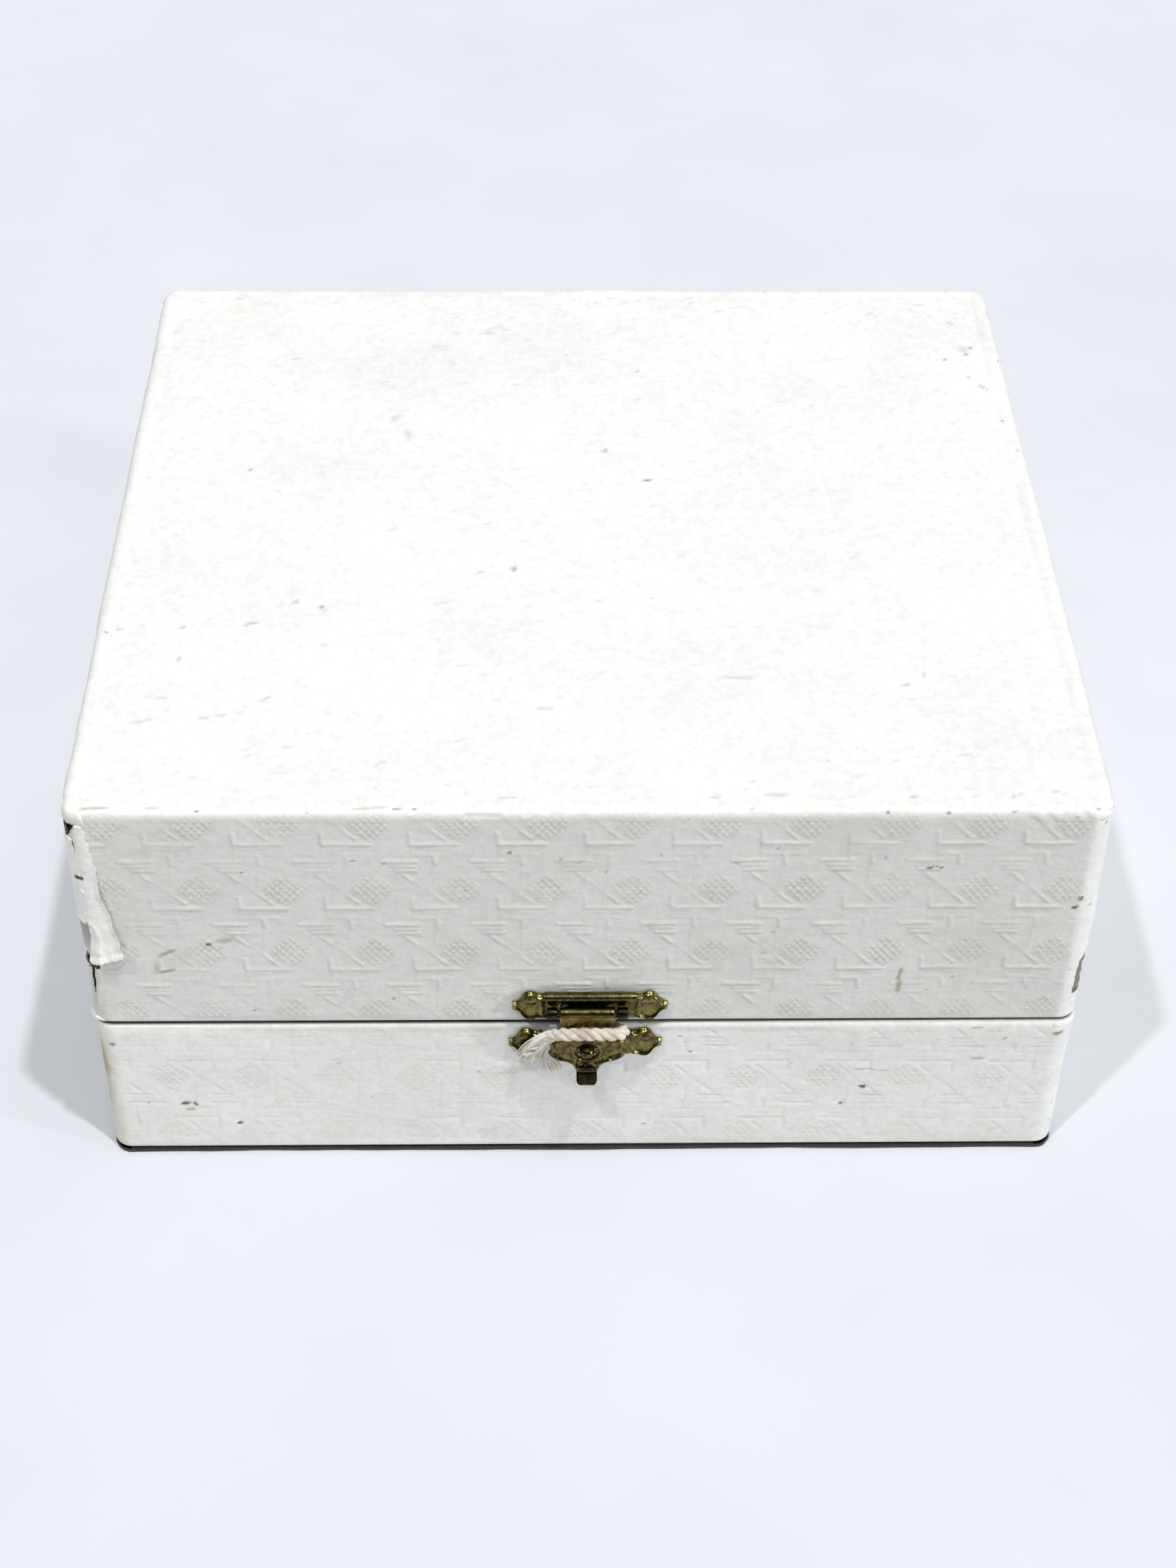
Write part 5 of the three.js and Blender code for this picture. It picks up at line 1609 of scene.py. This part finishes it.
def make_leaf(name, node, body, x, up, knuckles):
    """A hinge leaf with two nail heads, and the knuckles that its edge is rolled into."""
    half_x, half_up = HINGE_LEAF[0] / 2, HINGE_LEAF[1] / 2
    # The grid is finer towards the leaf's edges.
    across, rows = (np.sin(np.linspace(-1, 1, count) * math.pi / 2) for count in (61, 35))
    X, UP = np.meshgrid(across * half_x, rows * half_up)
    from_edge = np.minimum(half_x - np.abs(X), half_up - np.abs(UP))
    face = 0.8 - 0.2 * (1 - smooth(0, 0.3, from_edge)) + 0.02 * pebbles(X, UP, 1.6, 221)
    for nail in (-NAIL_X, NAIL_X):
        from_nail = ((X - nail) ** 2 + UP**2) / NAIL_RADIUS**2
        face = face + NAIL_RISE * np.sqrt(np.clip(1 - from_nail, 0, 1))
    parts = [shell(*(grid_on_wall(X + x, UP + up, out, 1) for out in (face, PLATE_OUT)))]
    for low, high in knuckles:
        knuckle = bar(x + low, x + high, 0.0, HINGE_PIN_OUT, HINGE_KNUCKLE_RADIUS, 26, wall=1)
        parts.append(knuckle)
    metal(name, merged(parts), BRASS, body, (node,))


def make_hinges():
    for side, x in zip(("left", "right"), HINGE_PLACES):
        name = f"hinge_{side}"
        back_x = -x  # seen from behind
        base_knuckles = ((-8.0, -3.3), (3.3, 8.0))
        make_leaf(f"{name}_on_base", f"{name}_base_leaf", "base", back_x, -6.0, base_knuckles)
        make_leaf(f"{name}_on_lid", f"{name}_lid_leaf", "lid", back_x, 6.0, ((-3.0, 3.0),))
        rod = bar(back_x - 7.95, back_x + 7.95, 0.0, HINGE_PIN_OUT, 0.6, 16, 0.12, 1)
        metal(f"{name}_rod", rod, SHADED_BRASS, "base", (f"{name}_pin",), 60)


make_hinges()

# ---------- The lining ----------


def make_board(name, node, body, material, slot, radius=0.3, step=2.2, swell=None):
    """A rounded, divided box in the place of a CAD node."""
    low, high = node_box(node)
    vertices, faces = soft_box(low, high, radius, step, swell)
    return closed(name, vertices, faces, material, body, slot, (node,), 60)


def puffed(seed, axis, puff=0.22):
    """A slight padding and a few wrinkles on the two broad faces of a lining card."""
    across = [k for k in range(3) if k != axis]

    def swell(place, normal):
        a, b = place[..., across[0]], place[..., across[1]]
        broad = np.abs(normal[..., axis]) ** 4
        soft = 0.1 + 0.5 * rough(a, b, 23.0, seed) + 0.2 * rough(a, b, 5.0, seed + 3)
        return broad * puff * np.clip(soft, -0.4, 1)

    return swell


def make_linings():
    """Satin over thin card, on the inside of both halves."""
    seed = 401
    for part in ("base", "lid"):
        for wall, axis in (("front", 1), ("back", 1), ("left", 0), ("right", 0)):
            name = f"{part}_{wall}_lining"
            make_board(f"{name}_satin", name, part, SATIN, "satin", 0.35, 2.2, puffed(seed, axis))
            seed += 7
    for part, name in (("base", "base_floor_lining"), ("lid", "lid_top_lining")):
        make_board(f"{name}_satin", name, part, SATIN, "satin", 0.35, 2.6, puffed(seed, 2, 0.2))
        seed += 7


def rings(outline, ways, levels):
    """Loops round an outline, one for each (inset, height), of which both may vary round it."""
    loops = []
    for inset, height in levels:
        ring = outline - ways * np.reshape(inset, (-1, 1))
        loops.append(np.column_stack([ring, np.broadcast_to(height, len(ring))]))
    return loops


def make_bottom_felt():
    """The dark sheet under the floor, whose edge shows all round the foot of the walls."""
    high = node_box("base_bottom_sheet")[1]
    outline, ways = rounded_loop(HALF_X + 0.12, HALF_Y + 0.12, CORNER_RADIUS, 10, 60)
    seam = np.arange(len(outline)) * 1.7
    uneven = 0.14 * rough(seam, seam, 9.0, 461)
    levels = ((0.35, 0.0), (0.0, 0.12), (0.0, 0.5), (0.25, high[2]), (6.0, high[2]))
    shape = loft(rings(outline, ways, [(inset + uneven, z) for inset, z in levels]))
    closed("bottom_felt", *shape, FELT, "base", "dark_felt", ("base_bottom_sheet",), 50)


# ---------- The tray ----------


def make_tray_walls():
    """The tray's card, covered in velvet whose pile has been brushed one way and another."""
    walls = [f"{side}_wall" for side in ("front", "back", "left", "right")]
    dividers = [f"{which}_divider" for which in ("long", "front", "back")]
    for k, part in enumerate(["floor", *walls, *dividers, "ledge_left", "ledge_right"]):
        node, body = f"tray_{part}", "base" if "ledge" in part else "tray"
        low, high = node_box(node)
        axis = int(np.argmin(high - low))
        swell = puffed(470 + 5 * k, axis, 0.1)
        make_board(f"{node}_velvet", node, body, VELVET, "velvet", 0.65, 2.4, swell)


ROLL_WRINKLES = 3.2  # mm from one wrinkle to the next


def make_ring_roll(number):
    """A soft roll, pinched in at both ends, flatter below and wrinkled where it is squeezed."""
    node = f"ring_roll_{number}"
    low, high = node_box(node)
    radius = (high[2] - low[2]) / 2
    middle = (low + high) / 2
    ends = np.sin(np.linspace(0, math.pi / 2, 12))
    along = joined(0.06 * ends, spaced(0.06, 0.94, 0.009), 1 - 0.06 * ends[::-1])
    angles = np.linspace(0, 2 * math.pi, 56, endpoint=False)
    A, S = np.meshgrid(angles, along)
    x = low[0] + (high[0] - low[0]) * S
    from_end = np.minimum(S, 1 - S) * (high[0] - low[0])
    profile = radius * np.sqrt(1 - (1 - np.clip(from_end / radius, 0, 1)) ** 2.4)
    profile = np.maximum(profile, 0.25)
    ripples = 0.10 * rough(x, A * radius, ROLL_WRINKLES, 520 + 9 * number)
    gathers = 0.30 * np.cos(14 * A + number) * np.exp(-from_end / 1.8)
    fat = 0.12 * noise(x, x, 12.0, 560 + number)
    r = profile - 0.12 + (ripples + gathers + fat - 0.1) * smooth(0, 1.5, profile)
    r = np.minimum(r, radius - 0.02)
    y = middle[1] + np.clip(r * np.sin(A), -(high[1] - low[1]) / 2, (high[1] - low[1]) / 2)
    z = np.maximum(middle[2] + r * np.cos(A), low[2] + 0.02)
    shape = loft(np.stack([x, y, z], -1))
    roll = closed(f"ring_pad_{number}", *shape, VELVET, "tray", "velvet", (node,), 60)


def make_pull(side):
    """A ribbon loop glued to the inside of the tray's wall, to lift the tray by."""
    node = f"tray_pull_{side}"
    low, high = node_box(node)
    sign = -1 if side == "left" else 1
    x = (low[0] + high[0]) / 2
    gap, thickness = 0.24, 0.2
    foot, head = low[2] + 0.05, high[2] - gap - thickness
    run = [(-gap, z) for z in np.linspace(foot, head, 24)]
    turns = np.radians(np.linspace(180, 0, 9))
    run += [(gap * math.cos(a), head + gap * math.sin(a)) for a in turns[1:-1]]
    run += [(gap, z) for z in np.linspace(head, foot, 24)]
    run = np.array(run)
    normal = np.gradient(run, axis=0)
    normal = np.stack([-normal[:, 1], normal[:, 0]], 1)
    normal /= np.linalg.norm(normal, axis=1)[:, None]
    y = np.linspace(low[1], high[1], 20)
    slack = 0.03 * np.sin(np.linspace(0, 3 * math.pi, len(run)))
    sides = []
    for offset in (thickness / 2, -thickness / 2):
        place = run + normal * (offset + 0.4 * slack[:, None])
        grid = np.broadcast_arrays(x + sign * place[:, :1], y, place[:, 1:])
        sides.append(np.stack(grid, -1))
    pull = closed(f"{node}_ribbon", *shell(*sides), SATIN, "tray", "satin", (node,), 70)


# ---------- The mirror ----------


MIRROR_RADIUS, MIRROR_BEVEL = 10.0, 2.0
# The frame's parts, by their distance in from its outside.
BEAD_RADIUS = 0.9
ROPE_MIDDLE, ROPE_RADIUS, ROPE_PITCH, ROPE_DEPTH = 4.3, 0.75, 2.1, 0.16


def make_mirror():
    """The glass, with a narrow ground bevel round its face."""
    low, high = node_box("mirror")
    half = (high - low)[:2] / 2
    loop, ways = rounded_loop(half[0], half[1], MIRROR_RADIUS)
    levels = (
        (MIRROR_BEVEL + 0.02, low[2]),
        (MIRROR_BEVEL, low[2]),
        (0.1, low[2] + 0.5),
        (0.0, low[2] + 0.6),
        (0.0, high[2]),
    )
    shape = loft(rings(loop, ways, levels))
    closed("mirror_glass", *shape, SILVERED_GLASS, "lid", "silvered_glass", ("mirror",), 20)


def make_mirror_frame():
    """A moulding of pressed, gilded paper: a bead outside, a hollow, and a roped edge inside."""
    low, high = node_box("mirror_frame")
    glass_low, glass_high = node_box("mirror")
    half = (high - low)[:2] / 2
    over_glass = 0.3
    width = half[0] - (glass_high - glass_low)[0] / 2 - over_glass
    loop, ways = rounded_loop(half[0], half[1], MIRROR_RADIUS + width + over_glass, 40, 190)
    steps = np.linalg.norm(np.diff(loop, axis=0, append=loop[:1]), axis=1)
    along = np.cumsum(steps)
    turns = 2 * math.pi * np.round(along[-1] / ROPE_PITCH) * along / along[-1]
    top = low[2]
    levels = [(0.0, high[2]), (0.0, top + BEAD_RADIUS)]
    for angle in np.linspace(0.2, 2.7, 9):
        height = top + BEAD_RADIUS - BEAD_RADIUS * math.sin(angle)
        levels.append((BEAD_RADIUS - BEAD_RADIUS * math.cos(angle), height))
    levels += [(2.3, top + 0.95), (2.9, top + 1.0), (3.4, top + 0.75)]
    for angle in np.linspace(0, math.pi, 9):
        from_middle = -ROPE_RADIUS * math.cos(angle)
        height = top + 0.8 - ROPE_RADIUS * math.sin(angle)
        strands = ROPE_DEPTH * (1 - np.cos(turns + 0.9 * math.pi * from_middle))
        levels.append((min(ROPE_MIDDLE + from_middle, width), np.clip(height + strands, low[2], high[2])))
    levels += [(width, top + 1.2), (width, high[2])]
    loops = rings(loop, ways, levels)
    shape = loft([*loops, loops[0]], capped=False)
    closed("mirror_moulding", *shape, GILT_PAPER, "lid", "gilt_paper", ("mirror_frame",), 50)


make_linings()
make_bottom_felt()
make_tray_walls()
for number in range(1, 7):
    make_ring_roll(number)
for pull_side in ("left", "right"):
    make_pull(pull_side)
make_mirror()
make_mirror_frame()

# ---------- Surroundings ----------

# Where each sun stands, as the direction towards it, and its strength.
SUNS = (((0.23, -0.21, 0.95), 1.3), ((-0.30, -0.32, 0.90), 0.95), ((0.93, -0.33, 0.17), 1.0))
SUN_ANGLE = 2.0  # degrees
SKY = 1.16
BACKDROP = (0.68, 0.70, 0.74, 1)


def make_floor():
    n = Nodes("pale_floor")
    soft = n.ramp(n.noise(60, 3), (0.3, (0.65, 0.675, 0.72)), (0.7, (0.69, 0.715, 0.76)))
    n.set(Base_Color=soft, Roughness=0.9, Specular_IOR_Level=0.2)
    half = 3000
    corners = [(-half, -half, 0), (half, -half, 0), (half, half, 0), (-half, half, 0)]
    mesh = bpy.data.meshes.new("floor")
    mesh.from_pydata([tuple(c * MM for c in corner) for corner in corners], [], [(0, 1, 2, 3)])
    mesh.materials.append(n.material)
    floor = bpy.data.objects.new("floor", mesh)
    bpy.context.scene.collection.objects.link(floor)


def make_sun(name, towards, strength):
    data = bpy.data.lights.new(name, "SUN")
    data.energy = strength
    data.angle = math.radians(SUN_ANGLE)
    sun = bpy.data.objects.new(name, data)
    sun.rotation_euler = Vector(towards).to_track_quat("Z", "Y").to_euler()
    bpy.context.scene.collection.objects.link(sun)


def make_sky():
    """A soft tent of light that is brightest overhead."""
    world = bpy.data.worlds.new("studio")
    world.use_nodes = True
    tree = world.node_tree
    background = tree.nodes["Background"]
    coordinates = tree.nodes.new("ShaderNodeTexCoord")
    split = tree.nodes.new("ShaderNodeSeparateXYZ")
    ramp = tree.nodes.new("ShaderNodeValToRGB")
    low, high = ramp.color_ramp.elements
    low.position, low.color = 0.1, (0.03, 0.03, 0.03, 1)
    high.position, high.color = 0.9, (1.0, 0.995, 0.985, 1)
    middle = ramp.color_ramp.elements.new(0.68)
    middle.color = (0.14, 0.14, 0.138, 1)
    tree.links.new(coordinates.outputs["Generated"], split.inputs["Vector"])
    tree.links.new(split.outputs["Z"], ramp.inputs["Fac"])
    # What is seen past the edge of the floor is pale, like the floor.
    seen = tree.nodes.new("ShaderNodeMix")
    seen.data_type = "RGBA"
    seen.inputs[7].default_value = BACKDROP
    path = tree.nodes.new("ShaderNodeLightPath")
    tree.links.new(path.outputs["Is Camera Ray"], seen.inputs["Factor"])
    tree.links.new(ramp.outputs["Color"], seen.inputs[6])
    tree.links.new(seen.outputs[2], background.inputs["Color"])
    background.inputs["Strength"].default_value = SKY
    bpy.context.scene.world = world


make_floor()
for count, (towards, strength) in enumerate(SUNS):
    make_sun(f"sun_{count}", towards, strength)
make_sky()
bpy.context.scene.view_settings.view_transform = "Standard"

# ---------- The CAD's own pieces ----------

FINISHES = {
    "leatherette": LEATHERETTE_PLAIN,
    "grey_board": GREY_BOARD,
    "dark_felt": FELT,
    "satin": SATIN,
    "velvet": VELVET,
    "brass": BRASS,
    "gilt_paper": GILT_PAPER,
    "silvered_glass": SILVERED_GLASS,
    "cotton": COTTON,
}
for subpart in frame["record"]["subparts"]:
    node = frame["nodes"][subpart["node"]]
    node.data.materials.clear()
    node.data.materials.append(FINISHES[subpart["material_slot"]])
